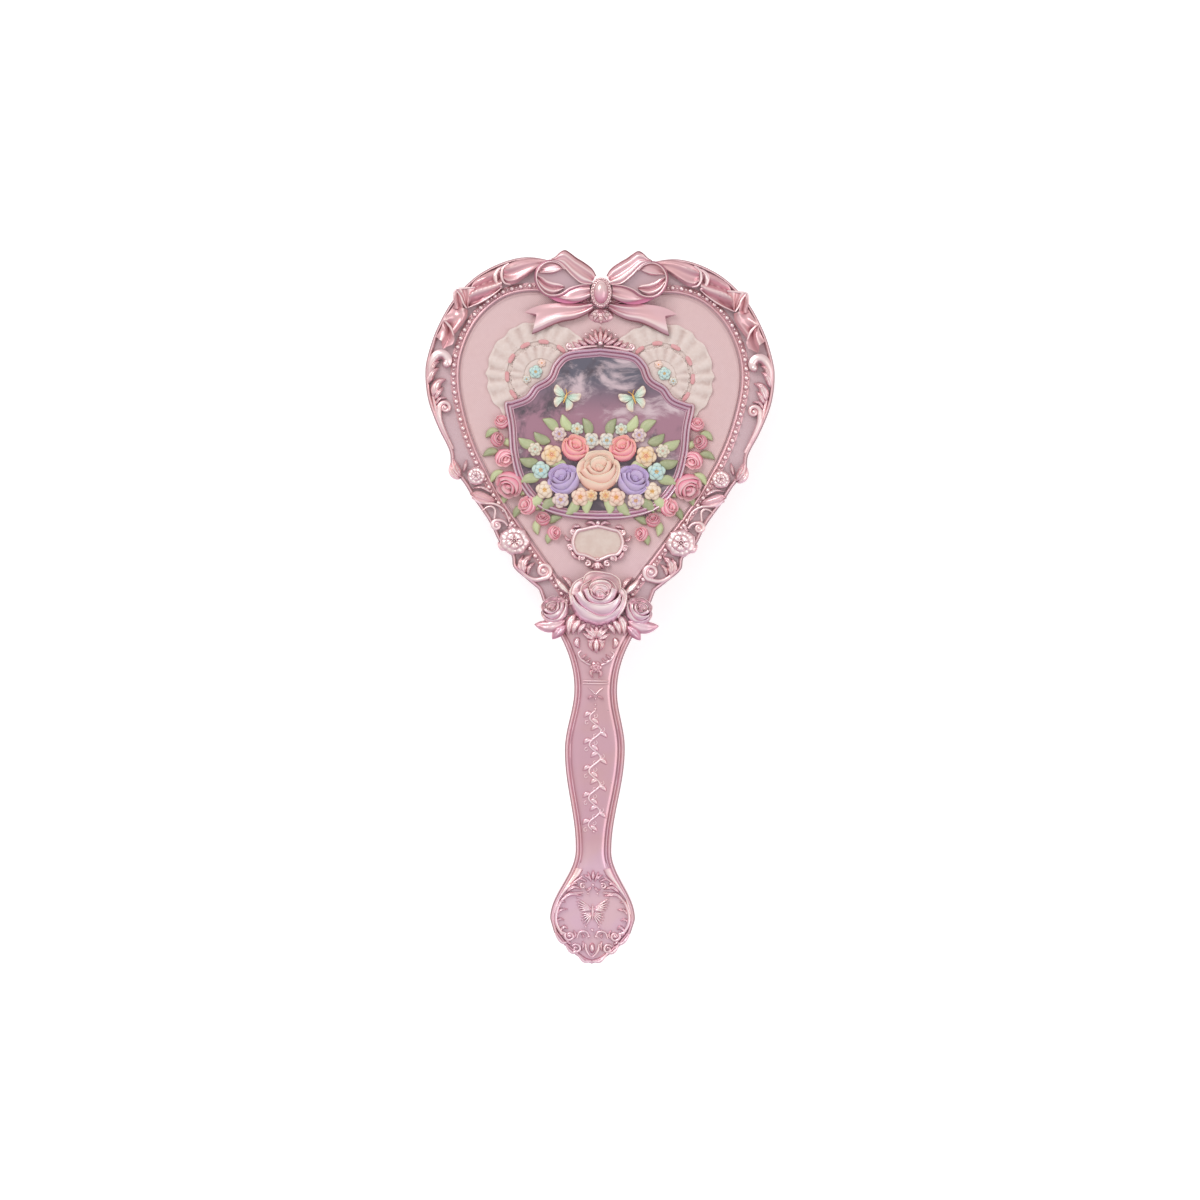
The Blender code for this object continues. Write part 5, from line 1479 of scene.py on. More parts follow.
def make_roses(trim):
    """The open rose on the neck with a smaller one and leaves on each side, and an acanthus drop below."""
    foot = field_level(trim)
    petals = ROSE_PETALS + BUD_PETALS
    # The plated roses, here and beside it, are painted paler as painted light against their own shade, most
    # at the lips as painted highlight.
    middle = rose(ROSE_CENTRE, 9.8, foot, top_of("centre_rose"), 0.0, PETAL, PALE_HIGHLIGHT, 48, 21, petals)
    dress("centre_rose", middle)
    right = rose((14.1, -1.3), 4.9, foot, top_of("side_rose_right") - 0.3, -0.5, PETAL, PALE_HIGHLIGHT, 30, 17, petals)
    dress_pair("side_rose", right)
    leaf_top = top_of("rose_leaf_right")
    rise = (BACK_FOOT + 3.4, leaf_top - 1.9, leaf_top)
    leaves = [leaf(spine, width, *rise, paint=colour, blunt=0.9) for spine, width, colour in ROSE_LEAVES]
    dress_pair("rose_leaf", leaves)
    base = HANDLE_FACE
    high = top_of("neck_drop")
    rise = (base, base + 0.5, high + 0.1)
    # The fan's blades have a soft painted highlight.
    half = [
        *[leaf(spine, width, base, base + 0.9, high + 0.4, paint=SOFT_HIGHLIGHT) for spine, width in FAN],
        leaf([(0.4, -10.8), (2.0, -12.6), (1.0, -15.2)], 0.95, *rise),
        leaf([(5.9, -10.4), (6.6, -12.2), (5.6, -14.2)], 1.2, base, base + 0.3, high - 0.6),
        scroll([(5.1, -15.0), (6.0, -16.0), (5.0, -17.7), (3.2, -19.0), (1.4, -19.9)],
               (0.35, 0.5, 0.4), base + 0.6),
        leaf([(5.2, -17.2), (4.0, -16.9), (3.3, -15.9)], 0.5, *rise),
        leaf([(3.6, -18.6), (2.6, -18.2), (2.0, -17.2)], 0.5, *rise),
        leaf([(0.5, -21.2), (1.6, -22.2), (1.0, -24.2)], 0.65, *rise),
        scroll([(0.1, -29.5), (1.2, -28.3), (2.5, -27.3)], (0.3, 0.3, 0.15), base + 0.5),
        leaf([(0.5, -30.3), (1.6, -30.4), (2.7, -31.2)], 0.45, base, base + 0.3, high),
    ]
    half += [scroll([(0, y), (2.4, y), (4.4, y)], (0.32, 0.3, 0.2), base + 0.5) for y in (-25.0, -25.9)]
    # The long lower leaf has a soft painted highlight.
    drop = [
        leaf([(0, -6.2), (0, -8.6), (0, -11.0)], 0.9, *rise),
        leaf([(0, -10.6), (0, -13.0), (0, -15.8)], 1.3, *rise, paint=SOFT_HIGHLIGHT),
        *blossom((0, -20.4), 2.1, base, high + 0.3, 6),
        domed((0, -5.4), base, base + 0.7, (9.0, 3.6), 10, 48, 2.6, tone=0.4),
        balls([(0, -31.0, base + 0.5), (0, -33.0, base + 0.4)], 0.4, 8, 10),
    ]
    dress("neck_drop", [*half, *mirrored(half), *drop])


def make_vine():
    """A leafy vine along the handle: a stem that swings as a sine, with a leaf at each swing."""
    base = RIM_TOP - 1.1
    first, last, step, sway = -35.0, -75.0, 9.0, 1.9
    y = np.linspace(first, last, 90)
    path = np.stack([sway * np.sin((y - first) * 2 * np.pi / step), y], 1)
    # The stem and its curls take the full tone, so the plating paints them with its highlight.
    made = [tube(at_level(path, base + 0.25), tapered(90, 0.3, 0.4, 0.3), sides=8, tone=1.0)]
    for i, at in enumerate(np.arange(first - 1.0, last, -step / 4)):
        way = 1 if i % 2 else -1
        stem = sway * math.sin((at - first) * 2 * math.pi / step)
        spine = [(stem, at), (stem + 1.3 * way, at + 0.1), (stem + 2.7 * way, at - 1.3)]
        made.append(leaf(spine, 0.9, base - 0.3, base, base + 0.8, rows=14, columns=7))
        curl = spiral((stem - 1.3 * way, at - 0.8), 1.2, 0.9 * way, 0.8, 0.25, 16)
        made.append(tube(at_level(curl, base + 0.25), 0.22, sides=6, tone=1.0))
    made.append(balls([(0, first + 0.6, base + 0.3), (0, last - 0.6, base + 0.3)], 0.45, 8, 10))
    make_piece("handle_vine", made, "plated")


# Emblem on the panel

PLAQUE = [
    (0, 86.9), (11.0, 85.4), (15.6, 81.6), (17.8, 77.0), (22.2, 74.2), (25.0, 70.6), (29.4, 68.8),
    (32.0, 67.6), (30.8, 60.0), (29.8, 50.0), (26.8, 40.6), (20.0, 32.8), (10.0, 29.6), (0, 29.0),
]
# Section of the plaque's double edge: distance inside its outline, drop below its top, and tone for painted
# shade and highlight
PLAQUE_SECTION = [
    (0.0, 1.1, 0.0), (0.15, 0.5, 0.2), (0.55, 0.0, 1.0), (0.95, 0.2, 0.8), (1.25, 0.9, 0.0),
    (1.5, 0.6, 0.3), (1.9, 0.1, 1.0), (2.3, 0.35, 0.7), (2.55, 0.85, 0.0), (2.8, 0.65, 0.5),
    (3.05, 0.75, 0.4), (3.2, 1.2, 0.0),
]
CREST_LEAVES = [
    [(0.5, 88.4), (1.6, 90.8), (1.8, 93.2)], [(1.0, 88.2), (3.0, 90.0), (3.9, 91.8)],
    [(1.6, 87.8), (4.2, 89.0), (6.0, 90.2)], [(4.2, 87.6), (6.2, 88.4), (7.8, 89.4)],
    [(6.2, 87.0), (8.2, 87.8), (9.6, 88.8)],
]
LACE_CENTRE = (20.0, 77.4)
# Florets on the lace: place, radius, height, colours, turn
LACE_FLORETS = [
    ((21.6, 78.4), 2.3, 2.0, "sky", "mint", 0.4), ((24.6, 75.9), 1.5, 1.7, "sky", "cream", 1.0),
    ((19.6, 81.4), 1.4, 1.6, "rose_edge", "cream", 0.1),
]
GARLAND = [(32.6, 62.6), (33.4, 54.6), (31.6, 45.6), (27.2, 37.4), (20.6, 30.4), (13.4, 24.6)]
# Leaves of the label: spine, half-width, rise above the frame
LABEL_LEAVES = [
    ([(0.6, 27.2), (2.4, 28.2), (4.4, 27.6)], 0.7, 0.2),
    ([(9.0, 22.0), (10.4, 22.6), (11.2, 24.0)], 0.6, 0.0),
    ([(0.5, 14.8), (1.8, 13.2), (2.6, 12.8)], 0.6, 0.2), ([(8.8, 18.6), (7.8, 16.8), (6.0, 15.6)], 0.7, 0.1),
    ([(5.8, 26.8), (7.6, 26.8), (8.8, 25.8)], 0.7, 0.1),
]
LABEL = [(0, 27.6), (4.4, 26.6), (7.6, 25.4), (9.0, 21.4), (7.4, 17.4), (4.0, 16.4), (0, 14.6)]


def make_plaque():
    """Cartouche with a double moulded edge, its plate with a painted reflection and a palmette crest."""
    loop = whole(spline(PLAQUE, 180))
    top = top_of("plaque_frame")
    section = [(across, top - drop) for across, drop, _ in PLAQUE_SECTION]
    tone = [0, *[tone for *_, tone in PLAQUE_SECTION], 0]
    walls = [(0, PANEL - 0.3), (PLAQUE_SECTION[-1][0], PANEL - 0.3)]
    dress("plaque_frame", [moulding(loop, [walls[0], *section, walls[1]], tone, SILVERED)])
    # The plate carries a painted reflection.
    dress("plaque_plate", [plate([inset(loop, 2.1)], EMBLEM_FOOT, PLATE_TOP)], "painted_reflection")
    high = top_of("plaque_crest") + 0.3
    foot = EMBLEM_FOOT
    sweep = np.vstack([[(1.2, 87.3), (4.8, 87.0), (8.6, 86.2)],
                       spiral((10.4, 87.2), -2.2, 1.1, 1.1, 0.3, 24)])
    half = [
        *[leaf(spine, 0.85, foot, PANEL + 0.4, high) for spine in CREST_LEAVES],
        scroll(sweep, (0.35, 0.6, 0.35), PANEL + 1.3),
        balls([(10.4, 87.2, PANEL + 1.5), (2.8, 92.6, PANEL + 1.4), (5.0, 91.2, PANEL + 1.4)], 0.5, 8, 10),
    ]
    middle = [
        leaf([(0, 88.2), (0, 90.8), (0, 94.0)], 0.9, foot, PANEL + 0.4, high + 0.3),
        balls([(0, 88.3, PANEL + 1.7)], 0.9, 8, 12),
    ]
    dress("plaque_crest", [*half, *mirrored(half), *middle])


def ruffle(inner, outer, count, sway, wave, level, paint):
    """A gathered ring about the lace's middle: its level and its scalloped edge wave with the angle, more
    towards the edge, in pleats whose width drifts."""
    turn = ring_of(288)[None]
    share = np.linspace(0, 1, 16)[:, None]
    angle = count * turn + sway * np.sin(3 * turn + 1) + 0.6 * sway * np.sin(7 * turn) - 0.8 * share
    pleat = np.cos(angle) * (0.75 + 0.25 * np.cos(5 * turn))
    edge = outer * (1 + 0.012 * np.cos(angle) + 0.014 * np.cos(count / 2 * turn + 1))
    radius = inner + (edge - inner) * share
    height = level + 0.25 * np.sin(np.pi * share) + wave * pleat * (0.2 + 0.8 * share)
    top = grid(LACE_CENTRE[0] + radius * np.cos(turn), LACE_CENTRE[1] + radius * np.sin(turn), height)
    below = top[::-1].copy()
    below[..., 2] = PANEL - 0.1
    shade = np.clip(0.62 + 0.38 * pleat * (0.3 + 0.7 * share) + 0.3 * (share > 0.93), 0, 1)
    quads = grid_quads(2 * len(share), turn.size, True, True)
    return solid(np.concatenate([top, below]), quads, tone=np.concatenate([shade, 0 * shade]), paint=paint)


def paints(colours):
    """The brush's colours by name, as arrays."""
    return {name: np.array(getattr(colours, name)) for name in BrushColours.__annotations__}


def make_lace(colours):
    """Gathered lace: a broad ruffle, a small one inside it, a beaded hem between them, and a threaded ribbon
    shown as short dashes; a few florets lie on each."""
    cream, pink = np.array(colours.lace), np.array(colours.ribbon)
    fabric = [
        ruffle(11.4, 18.1, 21, 0.7, 0.42, PANEL + 0.65, cream),
        ruffle(5.6, 9.9, 17, 0.5, 0.27, PANEL + 0.5, cream),
        domed(LACE_CENTRE, PANEL - 0.1, PANEL + 0.4, (6.0, 6.0), 8, 48, 4.0, paint=cream),
        plate([circle(LACE_CENTRE, 11.6, 90)], PANEL - 0.1, PANEL + 0.2, 0.6, cream),
    ]
    for middle, size, count in ((12.5, 0.42, 52), (10.0, 0.36, 42)):
        hem = at_level(circle(LACE_CENTRE, middle, count), PANEL + 0.45)
        fabric.append(balls(hem, size, 5, 8, cream))
    for angle in ring_of(11, 0.51):
        arc = angle + np.linspace(-0.15, 0.15, 14)
        path = np.stack([11.2 * np.cos(arc), 11.2 * np.sin(arc)], 1) + LACE_CENTRE
        width = 0.75 * np.sin(np.linspace(0.25, np.pi - 0.25, 14)) ** 0.3
        fabric.append(tube(at_level(path, PANEL + 0.75), width, 0.5, 10, tone=1.0, paint=pink))
    dress_pair("lace", fabric, "lace")
    paint = paints(colours)
    right = []
    for place, size, rise, colour, tip, spin in LACE_FLORETS:
        right += blossom(place, size, PANEL, PANEL + rise, 5, paint[colour], paint[tip], paint["gold"], spin)
    make_piece("lace_florets", [*right, *mirrored(right)], "painted")


def make_garlands(colours):
    """A rose garland down each side: roses at shares of a path, largest half-way, with leaves between."""
    foot = EMBLEM_FOOT
    top = top_of("garland_right")
    path = spline(GARLAND, 200)
    last = len(path) - 1
    heart_paint, lip_paint = np.array(colours.rose_heart), np.array(colours.rose_edge)
    green = np.array(colours.leaf)
    right = []
    shares = np.array([0.03, 0.16, 0.3, 0.5, 0.7, 0.85, 0.98])
    sizes = 2.5 + 2.3 * np.sin(np.pi * shares) ** 5
    ahead = np.gradient(path, axis=0)
    side = sideways(path)
    for i, (share, size) in enumerate(zip(shares, sizes)):
        at = int(share * last)
        centre = path[at] + side[at] * 0.9 * math.sin(2.4 * i)
        tall = foot + (top - foot) * (0.62 + 0.38 * size / sizes.max())
        warm = lip_paint * (0.86 + 0.14 * math.cos(3.1 * i))
        right += rose(centre, size, foot, tall, 1.3 * i, heart_paint, warm)
    for i, share in enumerate(np.linspace(0.02, 0.98, 14)):
        at = int(share * last)
        way = 1 if i % 2 else -1
        along = math.atan2(*ahead[at][::-1]) + way * (1.2 + 0.3 * math.sin(5 * i))
        reach = 4.6 + 1.4 * math.sin(math.pi * share)
        step = np.array([math.cos(along), math.sin(along)])
        bend = np.array([-step[1], step[0]]) * 0.7 * way
        start = path[at] + side[at] * way * 0.6
        spine = [start, start + 0.5 * reach * step + bend, start + reach * step]
        colour = green * (0.8 + 0.5 * (i % 3) / 2)
        right.append(leaf(spine, 1.35, foot, foot + 0.5, foot + 1.9, paint=colour, rows=20, columns=9))
    dress_pair("garland", right, "painted")


# Posy, right side: place and size of each small flower with its colours, then the middles of its leaves
POSY_MIDDLE = 46.0
POSY_FLOWERS = [
    ((15.8, 50.6), 3.6, "gold", "cream", "peach"), ((19.4, 45.4), 3.1, "sky", "mint", "gold"),
    ((18.0, 38.8), 3.1, "cream", "cream", "gold"), ((12.6, 35.6), 2.9, "lilac", "cream", "gold"),
    ((6.0, 36.6), 3.2, "peach", "cream", "gold"), ((2.6, 55.6), 2.8, "sky", "cream", "gold"),
    ((13.4, 57.6), 2.5, "lilac", "cream", "gold"), ((21.4, 52.4), 2.4, "mint", "cream", "peach"),
    ((7.4, 59.4), 2.2, "cream", "mint", "gold"), ((2.4, 37.2), 2.2, "gold", "cream", "peach"),
]
POSY_LEAVES = [
    (23.4, 48.8), (23.0, 41.8), (21.6, 35.6), (16.2, 33.6), (9.0, 33.4), (3.0, 33.8), (19.0, 56.6),
    (16.6, 60.4), (10.6, 61.6), (4.6, 60.0), (24.0, 55.0), (13.8, 46.8),
]


def make_posy(colours):
    """A posy on the plate: an open cream flower among lilac, peach, gold and blue ones, leaves round them,
    and a butterfly on each side."""
    foot = PLATE_TOP - 0.2
    top = top_of("posy")
    paint = paints(colours)
    middle = rose((0, 45.4), 7.4, foot, top, 0.2, paint["peach"], paint["cream"], 34, 15)
    half = [
        *rose((11.6, 42.4), 5.6, foot, top - 0.6, -0.4, paint["lilac"] * 0.7, paint["lilac"] * 1.15),
        *rose((8.0, 53.0), 4.7, foot, top - 0.9, 0.5, paint["rose_heart"], paint["peach"] * 1.1),
    ]
    for place, size, *names in POSY_FLOWERS:
        drop = 1.2 + 0.25 * (3.4 - size)
        count = 5 if size > 2.6 else 6
        shades = [paint[name] for name in names]
        half += blossom(place, size, foot, top - drop, count, *shades, 1.7 * size)
    for i, (x, y) in enumerate(POSY_LEAVES):
        way = np.array([x, y - POSY_MIDDLE]) / math.hypot(x, y - POSY_MIDDLE)
        bend = 0.9 * np.array([-way[1], way[0]]) * (1 if i % 2 else -1)
        place = np.array([x, y])
        spine = [place - 3.2 * way, place + bend, place + 3.4 * way]
        green = paint["leaf"] * (0.8 + 0.25 * (i % 3))
        half.append(leaf(spine, 1.7, foot, foot + 0.4, foot + 1.6, paint=green, rows=20, columns=9))
    wings = paint["mint"], paint["cream"], paint["gold"]
    half += butterfly((11.4, 70.0), 0.72, foot, PLATE_TOP + 1.0, *wings, 0.35)
    dress("posy", [*middle, *half, *mirrored(half)], "painted")


# Butterfly wings, right side, about its own middle
FORE_WING = [
    (0.3, 0.6), (2.4, 2.6), (5.4, 4.0), (6.5, 3.2), (6.2, 0.8), (4.6, -0.6), (2.2, -0.6), (0.4, -0.2),
]
HIND_WING = [
    (0.4, -0.4), (2.4, -0.8), (4.3, -1.6), (4.6, -3.4), (3.4, -5.4), (2.4, -5.9), (1.6, -4.2), (0.5, -1.6),
]


def turned_plane(points, centre, size, angle):
    """Plane points scaled, turned and moved to a centre."""
    c, s = math.cos(angle), math.sin(angle)
    return np.asarray(points) * size @ np.array([[c, s], [-s, c]]) + centre


def butterfly(centre, size, foot, low, paint, edge_paint, body_paint, angle):
    """Four ribbed wings, a tapered body and two feelers."""
    made = []
    for outline, ribs in ((FORE_WING, 5), (HIND_WING, 4)):
        for flip in (1, -1):
            shape = turned_plane(np.asarray(outline) * [flip, 1], centre, size, angle)
            root = turned_plane([(0.2 * flip, 0)], centre, size, angle)[0]
            made.append(wing(root, shape, foot, low, low + 0.8 * size, ribs, paint, edge_paint))
    line = turned_plane([(0, 1.6), (0, 0), (0, -3.0)], centre, size, angle)
    path = at_level(spline(line, 20), low + 0.6 * size)
    made.append(tube(path, size * tapered(20, 0.3, 0.55, 0.15, 0.3), sides=10, paint=body_paint))
    for flip in (1, -1):
        feeler = turned_plane([(0.1 * flip, 1.6), (0.9 * flip, 3.0), (1.6 * flip, 3.6)], centre, size, angle)
        path = at_level(spline(feeler, 12), low + 0.5 * size)
        made.append(tube(path, 0.16 * size, sides=6, paint=body_paint))
    return made


def make_label():
    """Bare cream label in a moulded cartouche with a pendant and corner curls."""
    loop = whole(spline(LABEL, 90))
    top = top_of("label_frame")
    section = [
        (0.0, PANEL - 0.3), (0.0, top - 0.7), (0.3, top - 0.15), (0.65, top), (1.0, top - 0.2),
        (1.3, top - 0.8), (1.3, PANEL - 0.3),
    ]
    curls = []
    for centre, start in (((8.3, 25.0), 2.4), ((9.2, 19.6), 0.4), ((5.2, 16.2), -0.8)):
        curls.append(scroll(spiral(centre, start, 1.2, 1.1, 0.3, 24), (0.35, 0.5, 0.3), PANEL + 1.3, 36))
        curls.append(balls([(*centre, PANEL + 1.4)], 0.5, 8, 10))
    curls.append(scroll(spiral((3.3, 14.4), 1.2, 1.2, 1.0, 0.3, 24), (0.35, 0.5, 0.3), PANEL + 1.3, 36))
    curls += [leaf(spine, width, EMBLEM_FOOT, PANEL + 0.5, top + rise) for spine, width, rise in LABEL_LEAVES]
    middle = [
        leaf([(0, 15.2), (0, 13.4), (0, 11.4)], 1.5, EMBLEM_FOOT, PANEL + 0.5, top + 0.3),
        balls([(0, 28.0, PANEL + 1.6)], 0.8, 8, 12),
        domed((0, 16.0), EMBLEM_FOOT, top + 0.5, (1.2, 0.8), 8, 20),
    ]
    dress("label_frame", [moulding(loop, section), *curls, *mirrored(curls), *middle])
    dress("label_plate", [plate([inset(loop, 1.1)], EMBLEM_FOOT, top_of("label_plate") - 0.3)], "label")


# Pommel, right side

FLANK = [
    (3.3, -96.1), (7.0, -96.5), (9.7, -98.1), (11.3, -100.4), (12.2, -103.4), (12.1, -106.3),
    (10.6, -109.2),
]
# Bars of the cartouche: path, radii, rise
POMMEL_BARS = [
    ([(3.6, -90.6), (8.4, -94.4), (11.8, -98.8), (13.2, -104.0), (12.4, -108.4)], (0.3, 0.5, 0.3), -0.1),
    ([(12.4, -109.6), (11.4, -111.4), (10.0, -112.9), (8.6, -112.9)], (0.3, 0.55, 0.4), 0.2),
    ([(8.8, -113.6), (7.8, -115.2), (6.5, -116.2), (5.2, -115.6)], (0.3, 0.55, 0.4), 0.2),
    ([(5.2, -116.2), (3.7, -118.0), (2.4, -119.1), (0.2, -119.0)], (0.3, 0.55, 0.4), 0.1),
    ([(5.2, -111.4), (4.4, -109.5), (2.6, -109.0), (1.4, -110.0), (1.9, -111.2)], (0.3, 0.42, 0.3), 0.1),
    ([(2.3, -113.2), (2.0, -115.2), (1.1, -116.8), (0.1, -117.7)], (0.35, 0.45, 0.3), 0.0),
]
# Leaves of the cartouche: spine, half-width
POMMEL_LEAVES = [
    ([(10.6, -98.6), (7.6, -96.6), (3.4, -97.2)], 0.75), ([(9.0, -96.0), (6.4, -94.2), (3.6, -95.0)], 0.7),
    ([(11.8, -103.6), (10.6, -101.9), (8.2, -101.7)], 0.55),
    ([(10.8, -108.8), (9.4, -107.6), (8.2, -108.4)], 0.7),
    ([(0.5, -91.8), (2.2, -90.6), (3.4, -90.0)], 0.5), ([(0.4, -94.2), (1.6, -95.2), (2.6, -94.8)], 0.5),
    ([(3.2, -112.2), (3.0, -113.8), (3.4, -115.8)], 0.5), ([(0.6, -92.4), (1.4, -90.2), (1.8, -88.9)], 0.5),
    ([(2.0, -92.4), (3.8, -91.6), (5.0, -92.0)], 0.5), ([(5.0, -93.2), (6.6, -93.0), (8.2, -94.6)], 0.55),
    ([(11.4, -99.6), (10.4, -99.0), (9.0, -99.4)], 0.5),
    ([(12.0, -105.8), (10.8, -105.0), (9.4, -105.4)], 0.5),
    ([(9.6, -110.6), (10.6, -109.4), (10.2, -107.6)], 0.55),
    ([(6.2, -111.6), (5.6, -110.2), (6.4, -108.6)], 0.5),
    ([(3.4, -111.4), (3.0, -110.6), (3.6, -109.8)], 0.45),
    ([(7.0, -113.4), (8.2, -112.6), (8.8, -111.4)], 0.5),
]
# Ribs of a wing: root, first and last angle, first and last reach
WING_RIBS = [((0.3, -101.8), (2.55, 3.2), (7.2, 4.8)), ((0.3, -102.6), (3.3, 4.2), (4.4, 5.8))]


def make_pommel():
    """Scrolled cartouche on the pommel: a palmette above, a double scroll down each flank to a volute, rings
    and a tongue below, and a butterfly of fine ribs in the middle."""
    base = RIM_TOP - 1.7
    level = RIM_TOP - 0.5
    flank = np.vstack([FLANK, spiral((7.6, -110.6), 0.5, -1.3, 1.7, 0.4, 36)])
    rise = (base, level - 0.5, level + 0.7)
    half = [
        scroll(flank, (0.35, 0.62, 0.45), level, 120),
        scroll(spiral((3.4, -93.8), 2.2, -1.1, 1.0, 0.3, 26), (0.25, 0.4, 0.25), level + 0.2, 40),
        scroll(spiral((5.3, -114.9), 0.6, 1.25, 1.6, 0.4, 30), (0.35, 0.5, 0.3), level + 0.1, 46),
        *[scroll(path, radii, level + lift) for path, radii, lift in POMMEL_BARS],
        *[leaf(spine, width, *rise) for spine, width in POMMEL_LEAVES],
        balls([(7.6, -110.6, level + 0.3)], 0.7, 8, 12),
        balls([(1.2, -110.7, level + 0.2)], 0.55, 8, 12),
        balls([(1.6, -96.4, level), (2.2, -107.6, level)], 0.4, 8, 10),
    ]
    middle = [
        leaf([(0, -91.8), (0, -90.2), (0, -88.4)], 0.7, *rise),
        balls([(0, -93.4, level + 0.2), (0, -108.6, level + 0.1)], 0.55, 8, 12),
        domed((0, -114.6), base, level + 0.8, (1.1, 1.9), 8, 24),
    ]
    dress("pommel_medallion", [*half, *mirrored(half), *middle])
    floor = RIM_TOP - 1.3
    ribs = []
    for root, angles, reaches in WING_RIBS:
        for angle, reach in zip(np.linspace(*angles, 5), np.linspace(*reaches, 5)):
            tip = np.array(root) + reach * np.array([math.cos(angle), math.sin(angle)])
            spine = [tip, (tip + root) / 2, root]
            # Each rib is painted paler as painted highlight.
            ribs.append(leaf(spine, 0.36, base, floor, floor + 0.9, paint=PALE_HIGHLIGHT, rib=0.0, rows=14, columns=7))
    line = spline([(0, -99.9), (0, -101.8), (0, -105.4)], 20)
    body = tube(at_level(line, floor + 0.6), tapered(20, 0.2, 0.5, 0.15, 0.4))
    dress("pommel_butterfly", [*ribs, *mirrored(ribs), body])


# Studio

FLOOR_REACH = 3.0
FLOOR_GREY = (0.86, 0.86, 0.86, 1.0)
HORIZON = (0.6, 0.53, 0.55, 1.0)
SENSOR = 36.0


def make_stage(stage):
    """Pale floor that keeps the shadow, a soft sky, two soft lamps and the camera straight above."""
    bpy.context.scene.view_settings.view_transform = "Standard"
    for obj in [o for o in bpy.data.objects if o.name in ("Cube", "Light", "Camera")]:
        bpy.data.objects.remove(obj)
    mesh = bpy.data.meshes.new("floor")
    corners = [(-1, -1, 0), (1, -1, 0), (1, 1, 0), (-1, 1, 0)]
    mesh.from_pydata([FLOOR_REACH * Vector(corner) for corner in corners], [], [(0, 1, 2, 3)])
    floor = bpy.data.objects.new("floor", mesh)
    bpy.context.scene.collection.objects.link(floor)
    pale, nodes, shader = new_finish("pale_floor", Roughness=0.9)
    shader.inputs["Base Color"].default_value = FLOOR_GREY
    ray = nodes.tree.nodes.new("ShaderNodeLightPath").outputs
    seen = nodes.math("MAXIMUM", ray["Is Glossy Ray"], ray["Is Transmission Ray"])
    seen = nodes.math("MAXIMUM", ray["Is Camera Ray"], seen)
    glow = nodes.add("ShaderNodeEmission", {"Color": PALE, "Strength": stage.floor_glow})
    lit = nodes.add("ShaderNodeAddShader", {0: shader.outputs[0], 1: glow})
    both = nodes.add("ShaderNodeMixShader", {0: seen, 1: shader.outputs[0], 2: lit})
    nodes.feed(nodes.tree.nodes["Material Output"].inputs["Surface"], both)
    mesh.materials.append(pale)
    world = bpy.data.worlds.new("soft_sky")
    world.use_nodes = True
    bpy.context.scene.world = world
    sky = Nodes(world.node_tree)
    up = sky.add("ShaderNodeSeparateXYZ", {0: sky.add("ShaderNodeTexCoord", out=0)}, out=2)
    glow = sky.mix(sky.span(up, 0.0, 0.95), HORIZON, PALE)
    sky.feed(world.node_tree.nodes["Background"].inputs["Color"], glow)
    world.node_tree.nodes["Background"].inputs["Strength"].default_value = stage.sky
    aim = Vector((0, 0, 0.03))
    lamps = [("key", (-0.55, 0.75, 0.95), 0.7, stage.key), ("fill", (0.8, -0.2, 0.9), 0.9, stage.fill)]
    for name, place, size, power in lamps:
        lamp = bpy.data.lights.new(name, "AREA")
        lamp.size = size
        lamp.energy = power
        holder = bpy.data.objects.new(name, lamp)
        holder.location = place
        holder.rotation_euler = (aim - Vector(place)).to_track_quat("-Z", "Y").to_euler()
        bpy.context.scene.collection.objects.link(holder)
    lens = bpy.data.cameras.new("camera")
    lens.sensor_width = SENSOR
    lens.lens = SENSOR * stage.distance / stage.frame_width
    camera = bpy.data.objects.new("camera", lens)
    camera.location = (stage.aim_x, stage.aim_y, PANEL * MM + stage.distance)
    camera.rotation_euler = (0, 0, stage.roll)
    bpy.context.scene.collection.objects.link(camera)
    bpy.context.scene.camera = camera


# Settings


def tint(name, about, value):
    """A colour to set."""
    return FloatVectorProperty(name=name, description=about, default=value, subtype="COLOR", min=0, max=1)


def length(name, about, value):
    """A length to set, given in millimetres."""
    return FloatProperty(name=name, description=about, default=value * MM,
                         unit="LENGTH", min=0.0, precision=5)


